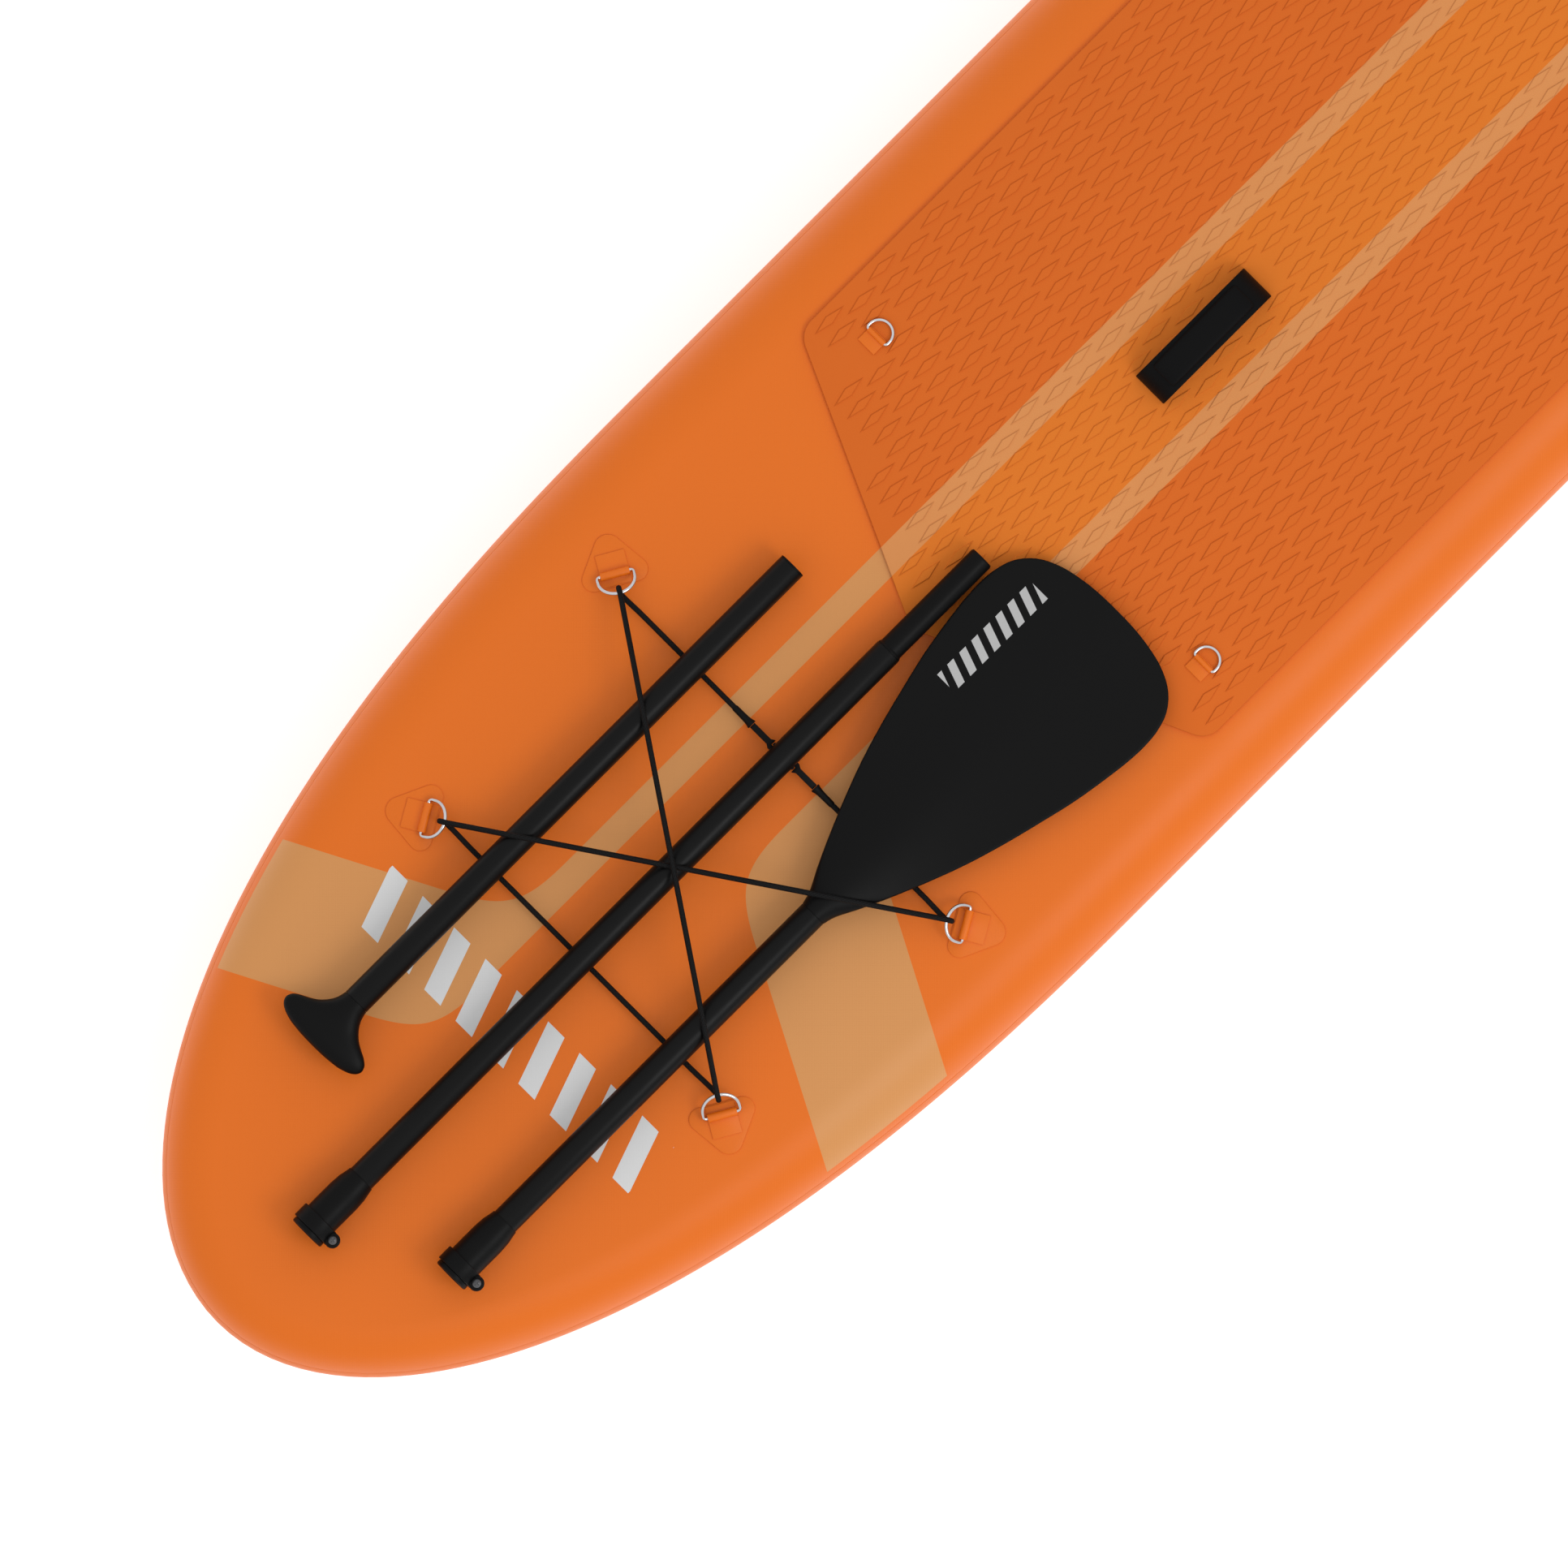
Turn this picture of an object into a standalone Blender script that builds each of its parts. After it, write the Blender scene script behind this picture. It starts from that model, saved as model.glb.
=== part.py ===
"""Inflatable stand up paddleboard with its three-piece paddle stowed under the deck bungee.

Metres, +Z up. The nose points to -Y and the tail to +Y, the fin tips stand on z = 0, and the
origin is under the middle of the board. A place along the board is given by s, the distance
from the nose tip. "left" and "right" are the rider's, facing the nose: left is +X.
"""

from math import asin, atan, cos, hypot, pi, radians, sin, sqrt, tan

import bmesh
import bpy
from mathutils import Matrix, Vector

# ---- Driving dimensions ---------------------------------------------------------------------

LENGTH = 3.05
WIDTH = 0.762
THICKNESS = 0.150
FIN_DEPTH = 0.115
GAP = 0.0003

NOSE_RUN = 1.0             # length over which the nose widens to full width
NOSE_FULLNESS = 2.4
TAIL_RUN = 0.85            # length over which the tail closes
TAIL_FULLNESS = 3.2
TAIL_BLUNTNESS = 2.6
NOSE_ROCKER_RUN = 0.95
NOSE_ROCKER = 0.085        # how far the bottom lifts at the nose tip
NOSE_LIFT = 0.040          # how far the deck lifts at the nose tip
TAIL_ROCKER_RUN = 0.60
TAIL_ROCKER = 0.020
TAIL_LIFT = 0.012
SKIN = 0.0015              # coated fabric, two layers
SEAM_ANGLE = radians(62)   # where the rail band meets the deck and bottom sheets
SEAM_GAP = 0.0010
STATIONS = 36              # cross sections along half the outline

PAD_THICKNESS = 0.005
PAD_APEX = 1.039
PAD_CORNER = 1.178
PAD_END = 2.70
PAD_HALF = 0.306
PAD_CORNER_RADIUS = 0.026

SHAFT_RADIUS = 0.0155
SHAFT_WALL = 0.0013
SPIGOT_RADIUS = 0.0138
SLEEVE_RADIUS = 0.0198
SLEEVE_BORE = 0.0158
CLAMP_RADIUS = 0.0232
CLAMP_WIDTH = 0.017
BOSS_OFFSET = 0.0250
BOSS_RADIUS = 0.0082
BOSS_HEIGHT = 0.026
SCREW_HEAD_RADIUS = 0.0047
SCREW_HEAD_HEIGHT = 0.0028
SCREW_RADIUS = 0.0020
SHAFT_SLOPE = 0.0353       # the stowed sections rise towards the nose
SHAFT_PIVOT = 0.852        # where they lie on the rear cord
SHAFT_BASE = 0.0181        # underside of a shaft above the deck there

GRIP_X = -0.136
MIDDLE_X = 0.0
BLADE_X = 0.140

CORD_RADIUS = 0.003
RING_WIRE = 0.002
RING_HALF = 0.020
RING_DEPTH = 0.025
RING_LEG = 0.007
RING_TILT = radians(32)
ROLL_RADIUS = 0.00465
ROLL_HALF = 0.016
PATCH_THICKNESS = 0.0012
WEBBING = 0.0014
ANCHOR_TURN = radians(30)
FRONT_ANCHOR = (0.2227, 0.5332)
REAR_ANCHOR = (0.2632, 0.8583)

SMALL_WIRE = 0.00175
SMALL_HALF = 0.01425
SMALL_DEPTH = 0.0190
SMALL_LEG = 0.005
SMALL_ROLL = 0.0031
SMALL_ROLL_HALF = 0.0118
SEAT_RING_X = 0.245
SEAT_RING_FRONT = 1.232
SEAT_RING_REAR = 2.150

HANDLE_S = 1.4775
HANDLE_LENGTH = 0.161
HANDLE_WIDTH = 0.042
HANDLE_HEIGHT = 0.036
HANDLE_STRAP = 0.0026
HANDLE_GRIP_LENGTH = 0.120
HANDLE_GRIP_WIDTH = 0.032
HANDLE_GRIP_THICKNESS = 0.005

VALVE_S = 2.80
VALVE_RADIUS = 0.024
LEASH_S = 2.915
FIN_BOX_S = 2.66
SIDE_FIN_S = 2.60
SIDE_FIN_X = 0.200

DECK_Z = FIN_DEPTH + THICKNESS
SLOPE_ANGLE = atan(SHAFT_SLOPE)

# ---- Scene, collections and materials ---------------------------------------------------------

for old in list(bpy.data.objects):
    bpy.data.objects.remove(old)

board = bpy.data.collections.new("stand_up_paddleboard")
cutters = bpy.data.collections.new("cutters")
bpy.context.scene.collection.children.link(board)
bpy.context.scene.collection.children.link(cutters)


def material(name, colour, roughness, metallic=0.0):
    made = bpy.data.materials.new(name)
    made.use_nodes = True
    shader = made.node_tree.nodes["Principled BSDF"]
    shader.inputs["Base Color"].default_value = (*colour, 1)
    shader.inputs["Roughness"].default_value = roughness
    shader.inputs["Metallic"].default_value = metallic
    made.diffuse_color = (*colour, 1)
    return made


ORANGE = material("coated_fabric", (0.72, 0.17, 0.03), 0.45)
FOAM = material("foam_pad", (0.60, 0.13, 0.03), 0.8)
THREAD = material("drop_stitch_thread", (0.75, 0.73, 0.68), 0.9)
WEBBING_ORANGE = material("orange_webbing", (0.75, 0.20, 0.04), 0.75)
WEBBING_BLACK = material("black_webbing", (0.015, 0.015, 0.016), 0.8)
STEEL = material("polished_steel", (0.78, 0.78, 0.80), 0.15, 1.0)
SHOCK_CORD = material("shock_cord", (0.012, 0.012, 0.013), 0.7)
PLASTIC = material("black_plastic", (0.012, 0.012, 0.013), 0.35)
PAINTED = material("black_painted_tube", (0.010, 0.010, 0.011), 0.3, 0.5)
FIN_PLASTIC = material("fin_plastic", (0.02, 0.02, 0.022), 0.4)

# ---- Modelling helpers --------------------------------------------------------------------------


def place(thing, name, finish, parent=None, at=(0, 0, 0), turn=(0, 0, 0)):
    """A named object for a mesh or curve, placed in its parent's frame."""
    made = bpy.data.objects.new(name, thing)
    thing.materials.append(finish)
    made.location = at
    made.rotation_euler = turn
    made.parent = parent
    board.objects.link(made)
    return made


def frame_empty(name, at, turn=(0, 0, 0), parent=None):
    made = bpy.data.objects.new(name, None)
    made.empty_display_size = 0.03
    made.location = at
    made.rotation_euler = turn
    made.parent = parent
    board.objects.link(made)
    return made


def mesh_of(bm, name, smooth_under=40):
    mesh = bpy.data.meshes.new(name)
    bm.to_mesh(mesh)
    bm.free()
    mesh.shade_smooth()
    mesh.set_sharp_from_angle(angle=radians(smooth_under))
    return mesh


def turned(name, profile, finish, ring=False, steps=24, **where):
    """A profile of (radius, z) points turned round z. It runs down its outer side."""
    mesh = bpy.data.meshes.new(name)
    edges = [(i, i + 1) for i in range(len(profile) - 1)]
    if ring:
        edges.append((len(profile) - 1, 0))
    mesh.from_pydata([(radius, 0, z) for radius, z in profile], edges, [])
    made = place(mesh, name, finish, **where)
    screw = made.modifiers.new("turn", "SCREW")
    screw.steps = screw.render_steps = steps
    screw.use_merge_vertices = True
    screw.merge_threshold = 0.00001
    return made


def tube_profile(outer, inner, start, end):
    return [(outer, end), (outer, start), (inner, start), (inner, end)]


def loft(name, rings, finish, **where):
    """A closed body through rings with the same number of points, capped at both ends."""
    bm = bmesh.new()
    loops = [[bm.verts.new(point) for point in ring] for ring in rings]
    count = len(loops[0])
    for one, two in zip(loops, loops[1:]):
        for i in range(count):
            j = (i + 1) % count
            bm.faces.new((one[i], one[j], two[j], two[i]))
    bm.faces.new(loops[0])
    bm.faces.new(loops[-1])
    bmesh.ops.recalc_face_normals(bm, faces=bm.faces[:])
    return place(mesh_of(bm, name), name, finish, **where)


def sheet(name, rows, facing, finish, closed=False):
    """An open surface through rows of points, given the skin's thickness on its inner side."""
    bm = bmesh.new()
    grid = [[bm.verts.new(point) for point in row] for row in rows]
    pairs = list(zip(grid, grid[1:]))
    if closed:
        pairs.append((grid[-1], grid[0]))
    for one, two in pairs:
        for i in range(len(one) - 1):
            bm.faces.new((one[i], one[i + 1], two[i + 1], two[i]))
    bmesh.ops.remove_doubles(bm, verts=bm.verts[:], dist=0.00001)
    bm.normal_update()
    side = sum(face.normal.dot(facing(face.calc_center_median())) for face in bm.faces)
    if side < 0:
        bmesh.ops.reverse_faces(bm, faces=bm.faces[:])
    made = place(mesh_of(bm, name), name, finish)
    shell = made.modifiers.new("skin", "SOLIDIFY")
    shell.thickness = SKIN
    shell.offset = -1
    return made


def tube(name, points, radius, finish, cyclic=False, **where):
    """A round wire or cord along a chain of points."""
    curve = bpy.data.curves.new(name, "CURVE")
    curve.dimensions = "3D"
    curve.bevel_depth = radius
    curve.bevel_resolution = 2
    curve.use_fill_caps = not cyclic
    spline = curve.splines.new("POLY")
    spline.points.add(len(points) - 1)
    for point, co in zip(spline.points, points):
        point.co = (*co, 1)
    spline.use_cyclic_u = cyclic
    return place(curve, name, finish, **where)


def plate(name, outlines, half, finish, **where):
    """A flat outline, with any holes after it, extruded by half to each side."""
    curve = bpy.data.curves.new(name, "CURVE")
    curve.dimensions = "2D"
    curve.fill_mode = "BOTH"
    curve.extrude = half
    for outline in outlines:
        spline = curve.splines.new("POLY")
        spline.points.add(len(outline) - 1)
        for point, co in zip(spline.points, outline):
            point.co = (co[0], co[1], 0, 1)
        spline.use_cyclic_u = True
    return place(curve, name, finish, **where)


def as_mesh(made):
    """The same object with its curve made a welded mesh, so that it takes a Boolean."""
    bpy.context.view_layer.update()
    evaluated = made.evaluated_get(bpy.context.evaluated_depsgraph_get())
    mesh = bpy.data.meshes.new_from_object(evaluated)
    bm = bmesh.new()
    bm.from_mesh(mesh)
    bmesh.ops.remove_doubles(bm, verts=bm.verts[:], dist=0.00001)
    bm.to_mesh(mesh)
    bm.free()
    solid = bpy.data.objects.new("welded", mesh)
    solid.parent = made.parent
    solid.location = made.location
    solid.rotation_euler = made.rotation_euler
    board.objects.link(solid)
    name = made.name
    bpy.data.objects.remove(made)
    solid.name = name
    return solid


def box(name, low, high, finish, bevel=0.0, **where):
    bm = bmesh.new()
    bmesh.ops.create_cube(bm, size=1)
    size = [b - a for a, b in zip(low, high)]
    middle = [(a + b) / 2 for a, b in zip(low, high)]
    bmesh.ops.scale(bm, vec=size, verts=bm.verts[:])
    bmesh.ops.translate(bm, vec=middle, verts=bm.verts[:])
    if bevel:
        bmesh.ops.bevel(bm, geom=bm.edges[:], offset=bevel, segments=2, profile=0.5,
                        affect="EDGES")
    return place(mesh_of(bm, name), name, finish, **where)


def rod(name, radius, low, high, finish, at=(0, 0, 0), steps=24, **where):
    """A cylinder along z from low to high."""
    bm = bmesh.new()
    bmesh.ops.create_cone(bm, cap_ends=True, segments=steps, radius1=radius, radius2=radius,
                          depth=high - low)
    bmesh.ops.translate(bm, vec=(0, 0, (low + high) / 2), verts=bm.verts[:])
    return place(mesh_of(bm, name), name, finish, at=at, **where)


def combine(made, other, operation):
    """Cut made with other, or join other to it. The other becomes a hidden guide."""
    step = made.modifiers.new(operation.lower(), "BOOLEAN")
    step.operation = operation
    step.object = other
    step.solver = "EXACT"
    other.hide_render = True
    other.display_type = "WIRE"
    board.objects.unlink(other)
    cutters.objects.link(other)


def rounded(corners, radius, steps=5):
    """A polygon's outline with every corner rounded by an arc."""
    points = []
    for i, corner in enumerate(corners):
        here = Vector(corner)
        back = (Vector(corners[i - 1]) - here).normalized()
        ahead = (Vector(corners[(i + 1) % len(corners)]) - here).normalized()
        half = back.angle(ahead) / 2
        centre = here + (back + ahead).normalized() * radius / sin(half)
        start = here + back * radius / tan(half) - centre
        end = here + ahead * radius / tan(half) - centre
        for k in range(steps + 1):
            points.append(centre + start.lerp(end, k / steps).normalized() * radius)
    return points


def arc(centre, radius, start, end, steps):
    angles = [start + (end - start) * k / steps for k in range(steps + 1)]
    return [(centre[0] + radius * cos(a), centre[1] + radius * sin(a)) for a in angles]


# ---- The hull's shape ---------------------------------------------------------------------------


def along(s):
    return s - LENGTH / 2


def nose_part(s):
    return max(0.0, 1 - s / NOSE_ROCKER_RUN) ** 2


def tail_part(s):
    return max(0.0, (s - LENGTH + TAIL_ROCKER_RUN) / TAIL_ROCKER_RUN) ** 2


def deck_z(s):
    return DECK_Z + NOSE_LIFT * nose_part(s) + TAIL_LIFT * tail_part(s)


def bottom_z(s):
    return FIN_DEPTH + NOSE_ROCKER * nose_part(s) + TAIL_ROCKER * tail_part(s)


def deck_tilt(s):
    """Rotation about X that lays a flat piece on the deck at s."""
    step = 0.001
    return atan((deck_z(s + step) - deck_z(s - step)) / (2 * step))


def half_width(s):
    if s < NOSE_RUN:
        return WIDTH / 2 * sqrt(1 - (1 - s / NOSE_RUN) ** NOSE_FULLNESS)
    if s > LENGTH - TAIL_RUN:
        part = min(1.0, (s - LENGTH + TAIL_RUN) / TAIL_RUN)
        return WIDTH / 2 * (1 - part ** TAIL_FULLNESS) ** (1 / TAIL_BLUNTNESS)
    return WIDTH / 2


def even_steps(points, count):
    """Points spaced evenly by length along a chain."""
    lengths = [0.0]
    for one, two in zip(points, points[1:]):
        lengths.append(lengths[-1] + hypot(two[0] - one[0], two[1] - one[1]))
    picked, at = [], 0
    for k in range(count + 1):
        target = lengths[-1] * k / count
        while at < len(lengths) - 2 and lengths[at + 1] < target:
            at += 1
        part = (target - lengths[at]) / (lengths[at + 1] - lengths[at])
        one, two = points[at], points[at + 1]
        picked.append((one[0] + (two[0] - one[0]) * part, one[1] + (two[1] - one[1]) * part))
    return picked


def half_outline():
    """The left edge of the board from nose tip to tail tip, as (x, s) with its outward normal."""
    fine = 4000
    marks = [LENGTH * (1 - cos(pi * k / fine)) / 2 for k in range(fine + 1)]
    edge = even_steps([(half_width(s), s) for s in marks], STATIONS)
    stations = []
    for i, (x, s) in enumerate(edge):
        before = edge[i - 1] if i else (-edge[1][0], edge[1][1])
        after = edge[i + 1] if i < STATIONS else (-edge[-2][0], edge[-2][1])
        way = Vector((after[0] - before[0], after[1] - before[1])).normalized()
        stations.append((x, s, way.y, -way.x))
    return stations


def rail_point(station, angle, side):
    """A point on the round rail: 90 degrees is the deck's edge, -90 the bottom's."""
    x, s, out_x, out_s = station
    radius = (deck_z(s) - bottom_z(s)) / 2
    inner_x = x - out_x * radius
    inner_s = s - out_s * radius
    reach = radius * cos(angle)
    z = deck_z(inner_s) - radius + radius * sin(angle)
    return Vector((side * (inner_x + out_x * reach), along(inner_s + out_s * reach), z))


OUTLINE = half_outline()


def flat_sheet(name, up, hole=None):
    """The deck (up 1) or bottom (up -1) sheet, wrapped a little way onto the rail."""
    steps = 2
    seam = SEAM_ANGLE + SEAM_GAP / THICKNESS * 2
    angles = [seam + (pi / 2 - seam) * k / steps for k in range(steps + 1)]
    rows = []
    for station in OUTLINE:
        left = [rail_point(station, up * a, 1) for a in angles]
        right = [Vector((-p.x, p.y, p.z)) for p in reversed(left)]
        rows.append(left + [(left[-1] + right[0]) / 2] + right)
    made = sheet(name, rows, lambda centre: Vector((0, 0, up)), ORANGE)
    if hole:
        combine(made, hole, "DIFFERENCE")
    return made


def rail_band():
    """The sheet that wraps the whole round edge, from the deck's seam to the bottom's."""
    steps = 6
    angles = [SEAM_ANGLE - 2 * SEAM_ANGLE * k / steps for k in range(steps + 1)]
    left = [[rail_point(station, a, 1) for a in angles] for station in OUTLINE]
    right = [[Vector((-p.x, p.y, p.z)) for p in row] for row in reversed(left[1:-1])]

    def outwards(centre):
        return Vector((centre.x, centre.y * WIDTH / LENGTH, 0))

    sheet("rail_band", left + right, outwards, ORANGE, closed=True)


def drop_stitch_core():
    """The thread columns that tie deck to bottom, drawn as a light waffle of thread walls."""
    cells_x, cells_y, wall = 4, 12, 0.0012
    start, end, half = 0.42, 2.56, 0.262
    clearance = 0.003
    bm = bmesh.new()
    grid = []
    for j in range(2 * cells_y + 2):
        s = start + (end - start) * (j // 2) / cells_y + (wall if j % 2 else -wall)
        wide = min(half, half_width(s) - THICKNESS / 2 - 0.012)
        lines = [wide * (2 * (i // 2) / cells_x - 1) + (wall if i % 2 else -wall)
                 for i in range(2 * cells_x + 2)]
        grid.append([bm.verts.new((x, along(s), 0)) for x in lines])
    for j, (one, two) in enumerate(zip(grid, grid[1:])):
        for i in range(len(one) - 1):
            if j % 2 == 0 or i % 2 == 0:
                bm.faces.new((one[i], one[i + 1], two[i + 1], two[i]))
    below = bmesh.ops.extrude_face_region(bm, geom=bm.faces[:])["geom"]
    lower = {v for v in below if isinstance(v, bmesh.types.BMVert)}
    for v in bm.verts:
        s = v.co.y + LENGTH / 2
        v.co.z = bottom_z(s) + SKIN + clearance if v in lower else deck_z(s) - SKIN - clearance
    bmesh.ops.recalc_face_normals(bm, faces=bm.faces[:])
    place(mesh_of(bm, "drop_stitch_core"), "drop_stitch_core", THREAD)


def pad_half_width(s):
    """The pad's half width: a V at the front, straight sides, then the tail's curve."""
    slant = PAD_HALF / (PAD_CORNER - PAD_APEX)
    flare = (s - PAD_APEX) * slant
    side = min(PAD_HALF, half_width(s) - (deck_z(s) - bottom_z(s)) / 2)
    return max(0.0, min(flare, side))


def traction_pad():
    """The foam pad: a V front, straight sides, and a square end before the valve."""
    corners = [(0, PAD_APEX), (PAD_HALF, PAD_CORNER), (PAD_HALF, 2.0), (0, 2.0)]
    curve = rounded(corners, PAD_CORNER_RADIUS)
    front = curve[6:12]
    marks = [2.0 + (PAD_END - 2.0) * k / 10 for k in range(11)]
    back = [Vector((pad_half_width(s), s)) for s in marks]
    straight = [Vector((PAD_HALF, 1.3 + 0.1 * k)) for k in range(7)]
    side = [Vector((0.0, PAD_APEX)), *front, *straight, *back]
    bm = bmesh.new()
    rows = []
    for x, s in side:
        z = deck_z(s) + GAP
        spread = [x, 0, -x] if x else [0, 0, 0]
        rows.append([bm.verts.new((u, along(s), z)) for u in spread])
    for one, two in zip(rows, rows[1:]):
        for i in range(2):
            bm.faces.new((one[i], two[i], two[i + 1], one[i + 1]))
    bmesh.ops.remove_doubles(bm, verts=bm.verts[:], dist=0.00001)
    top = bmesh.ops.extrude_face_region(bm, geom=bm.faces[:])["geom"]
    for v in top:
        if isinstance(v, bmesh.types.BMVert):
            v.co.z += PAD_THICKNESS - GAP
    bmesh.ops.recalc_face_normals(bm, faces=bm.faces[:])
    place(mesh_of(bm, "traction_pad"), "traction_pad", FOAM)


# ---- Anchors: patch, strap and ring --------------------------------------------------------------


def d_ring(name, half, depth, leg, wire, parent, at, tilt):
    """A D-shaped ring. Its straight bar lies on the origin, along X, and the bow on +Y."""
    corner = wire * 1.6
    right = arc((half - corner, corner), corner, -pi / 2, 0, 2)
    bow = [(half * x, leg + (depth - leg) * y) for x, y in arc((0, 0), 1, 0, pi, 10)]
    left = [(-x, y) for x, y in reversed(right)]
    path = [(x, y, 0) for x, y in [*right, *bow, *left]]
    return tube(name, path, wire, STEEL, cyclic=True, parent=parent, at=at, turn=(tilt, 0, 0))


def strap_section(roll, wire, base, tail, front):
    """The side view of a strap folded round a bar: a flat base with a roll, and the bar's hole."""
    layer = base + WEBBING
    middle = base + roll
    sink = asin((layer - middle) / roll)
    outer = [(-tail, base), (front, base), (front, layer)]
    outer += arc((0, middle), roll, sink, pi - sink, 16)
    outer += [(-tail, layer)]
    hole = arc((0, middle), wire + 0.0004, 0, 2 * pi, 12)[:-1]
    return [outer, hole]


def anchor(name, side, place_xs, turn_way):
    """One bungee anchor: a patch glued to the deck, a webbing strap and a ring held by it."""
    x, s = place_xs
    heading = Vector((-side * cos(ANCHOR_TURN), turn_way * sin(ANCHOR_TURN)))
    swing = Vector((0, 1)).angle_signed(heading) * -1
    on_deck = frame_empty(name + "_frame", (side * x, along(s), deck_z(s)), (deck_tilt(s), 0, 0))
    facing = frame_empty(name + "_heading", (0, 0, 0), (0, 0, swing), parent=on_deck)
    outline = rounded([(0, -0.051), (0.047, 0.017), (-0.047, 0.017)], 0.010)
    lift = GAP + PATCH_THICKNESS / 2
    plate(name + "_patch", [outline], PATCH_THICKNESS / 2, ORANGE, parent=facing,
          at=(0, 0, lift))
    base = 2 * GAP + PATCH_THICKNESS
    section = strap_section(ROLL_RADIUS, RING_WIRE, base, 0.023, 0.012)
    plate(name + "_strap", section, ROLL_HALF, WEBBING_ORANGE, parent=facing,
          turn=(pi / 2, 0, pi / 2))
    height = base + ROLL_RADIUS
    d_ring(name + "_ring", RING_HALF, RING_DEPTH, RING_LEG, RING_WIRE, facing,
           (0, 0, height), RING_TILT)
    normal = Matrix.Rotation(deck_tilt(s), 3, "X")
    centre = Vector((side * x, along(s), deck_z(s))) + normal @ Vector((0, 0, height))
    flat = Vector((heading.x, heading.y, 0))
    rise = Vector((0, 0, 1))
    bow = centre + normal @ (flat * cos(RING_TILT) + rise * sin(RING_TILT)) * RING_DEPTH
    return bow, flat


def small_anchor(name, x, s, way, deck=PAD_THICKNESS):
    """A strap and a free ring. way is 1 where the ring lies towards the tail, -1 to the nose."""
    turn = 0 if way > 0 else pi
    base = deck_z(s) + deck + GAP
    holder = frame_empty(name + "_frame", (x, along(s), base), (deck_tilt(s), 0, turn))
    section = strap_section(SMALL_ROLL, SMALL_WIRE, 0, 0.016, 0.004)
    plate(name + "_strap", section, SMALL_ROLL_HALF, WEBBING_ORANGE, parent=holder,
          turn=(pi / 2, 0, pi / 2))
    drop = -asin((SMALL_ROLL - SMALL_WIRE - 0.0004) / SMALL_DEPTH)
    d_ring(name + "_ring", SMALL_HALF, SMALL_DEPTH, SMALL_LEG, SMALL_WIRE, holder,
           (0, 0, SMALL_ROLL), drop)


# ---- Paddle ----------------------------------------------------------------------------------------


def section_frame(name, x):
    """The axis of one stowed paddle section. Its +Y runs along the shaft towards the tail."""
    height = deck_z(SHAFT_PIVOT) + SHAFT_BASE + SHAFT_RADIUS
    return frame_empty(name, (x, along(SHAFT_PIVOT), height), (-SLOPE_ANGLE, 0, 0))


def down_shaft(s):
    """Distance along a stowed section's own axis, from where it lies on the rear cord."""
    return (s - SHAFT_PIVOT) / cos(SLOPE_ANGLE)


LENGTHWAYS = (-pi / 2, 0, 0)   # lays a piece turned round z along the section's +Y


def shaft_tube(name, holder, start, end, finish=PAINTED, outer=SHAFT_RADIUS, wall=SHAFT_WALL):
    profile = tube_profile(outer, outer - wall, down_shaft(start), down_shaft(end))
    return turned(name, profile, finish, ring=True, parent=holder, turn=LENGTHWAYS)


def socket(name, holder, mouth, bore):
    """The moulded sleeve that takes the next section: lip, clamp seat, grip, then a taper."""
    start = down_shaft(mouth)
    hold = SHAFT_RADIUS + GAP
    outer = [(0.0166, 0.082), (0.0172, 0.078), (0.0192, 0.070), (SLEEVE_RADIUS, 0.064),
             (SLEEVE_RADIUS, 0.0055), (0.0202, 0.005), (0.0202, 0.001), (0.0194, 0)]
    inner = [(bore, 0), (bore, 0.0415), (hold, 0.0415), (hold, 0.082)]
    profile = [(r, start + y) for r, y in outer + inner]
    turned(name, profile, PLASTIC, ring=True, parent=holder, turn=LENGTHWAYS)


def clamp(prefix, holder, mouth):
    """A split band round the sleeve, drawn tight by a cross-head screw through its boss."""
    middle = down_shaft(mouth) + 0.0058 + CLAMP_WIDTH / 2
    low, high = middle - CLAMP_WIDTH / 2, middle + CLAMP_WIDTH / 2
    band = turned(prefix + "_clamp_ring",
                  tube_profile(CLAMP_RADIUS, SLEEVE_RADIUS + GAP, low, high),
                  PLASTIC, ring=True, parent=holder, turn=LENGTHWAYS)
    centre = (BOSS_OFFSET, middle, 0)
    half = BOSS_HEIGHT / 2
    boss = rod(prefix + "_boss", BOSS_RADIUS, -half, half, PLASTIC, at=centre, parent=holder)
    bore = rod(prefix + "_bore", SLEEVE_RADIUS + GAP, low - 0.01, high + 0.01, PLASTIC,
               turn=LENGTHWAYS, parent=holder)
    hole = rod(prefix + "_hole", SCREW_RADIUS + 0.0004, -0.02, 0.02, PLASTIC, at=centre,
               parent=holder)
    split = box(prefix + "_split", (SLEEVE_RADIUS - 0.002, low - 0.001, -0.0008),
                (0.040, high + 0.001, 0.0008), PLASTIC, parent=holder)
    combine(band, boss, "UNION")
    combine(band, bore, "DIFFERENCE")
    combine(band, hole, "DIFFERENCE")
    combine(band, split, "DIFFERENCE")
    pivot = frame_empty(prefix + "_screw_axis", centre, parent=holder)
    head = half + GAP
    dome = [(0, head + SCREW_HEAD_HEIGHT), (0.0022, head + 0.0026), (0.0038, head + 0.0019),
            (SCREW_HEAD_RADIUS, head + 0.0006), (SCREW_HEAD_RADIUS, head), (SCREW_RADIUS, head),
            (SCREW_RADIUS, -half - 0.003), (0, -half - 0.004)]
    screw = turned(prefix + "_clamp_screw", dome, STEEL, steps=20, parent=pivot)
    for n, (long_x, long_y) in enumerate([(0.0026, 0.0005), (0.0005, 0.0026)]):
        recess = box(f"{prefix}_recess_{n}", (-long_x, -long_y, head + 0.0012),
                     (long_x, long_y, head + 0.01), STEEL, parent=pivot)
        combine(screw, recess, "DIFFERENCE")


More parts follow.
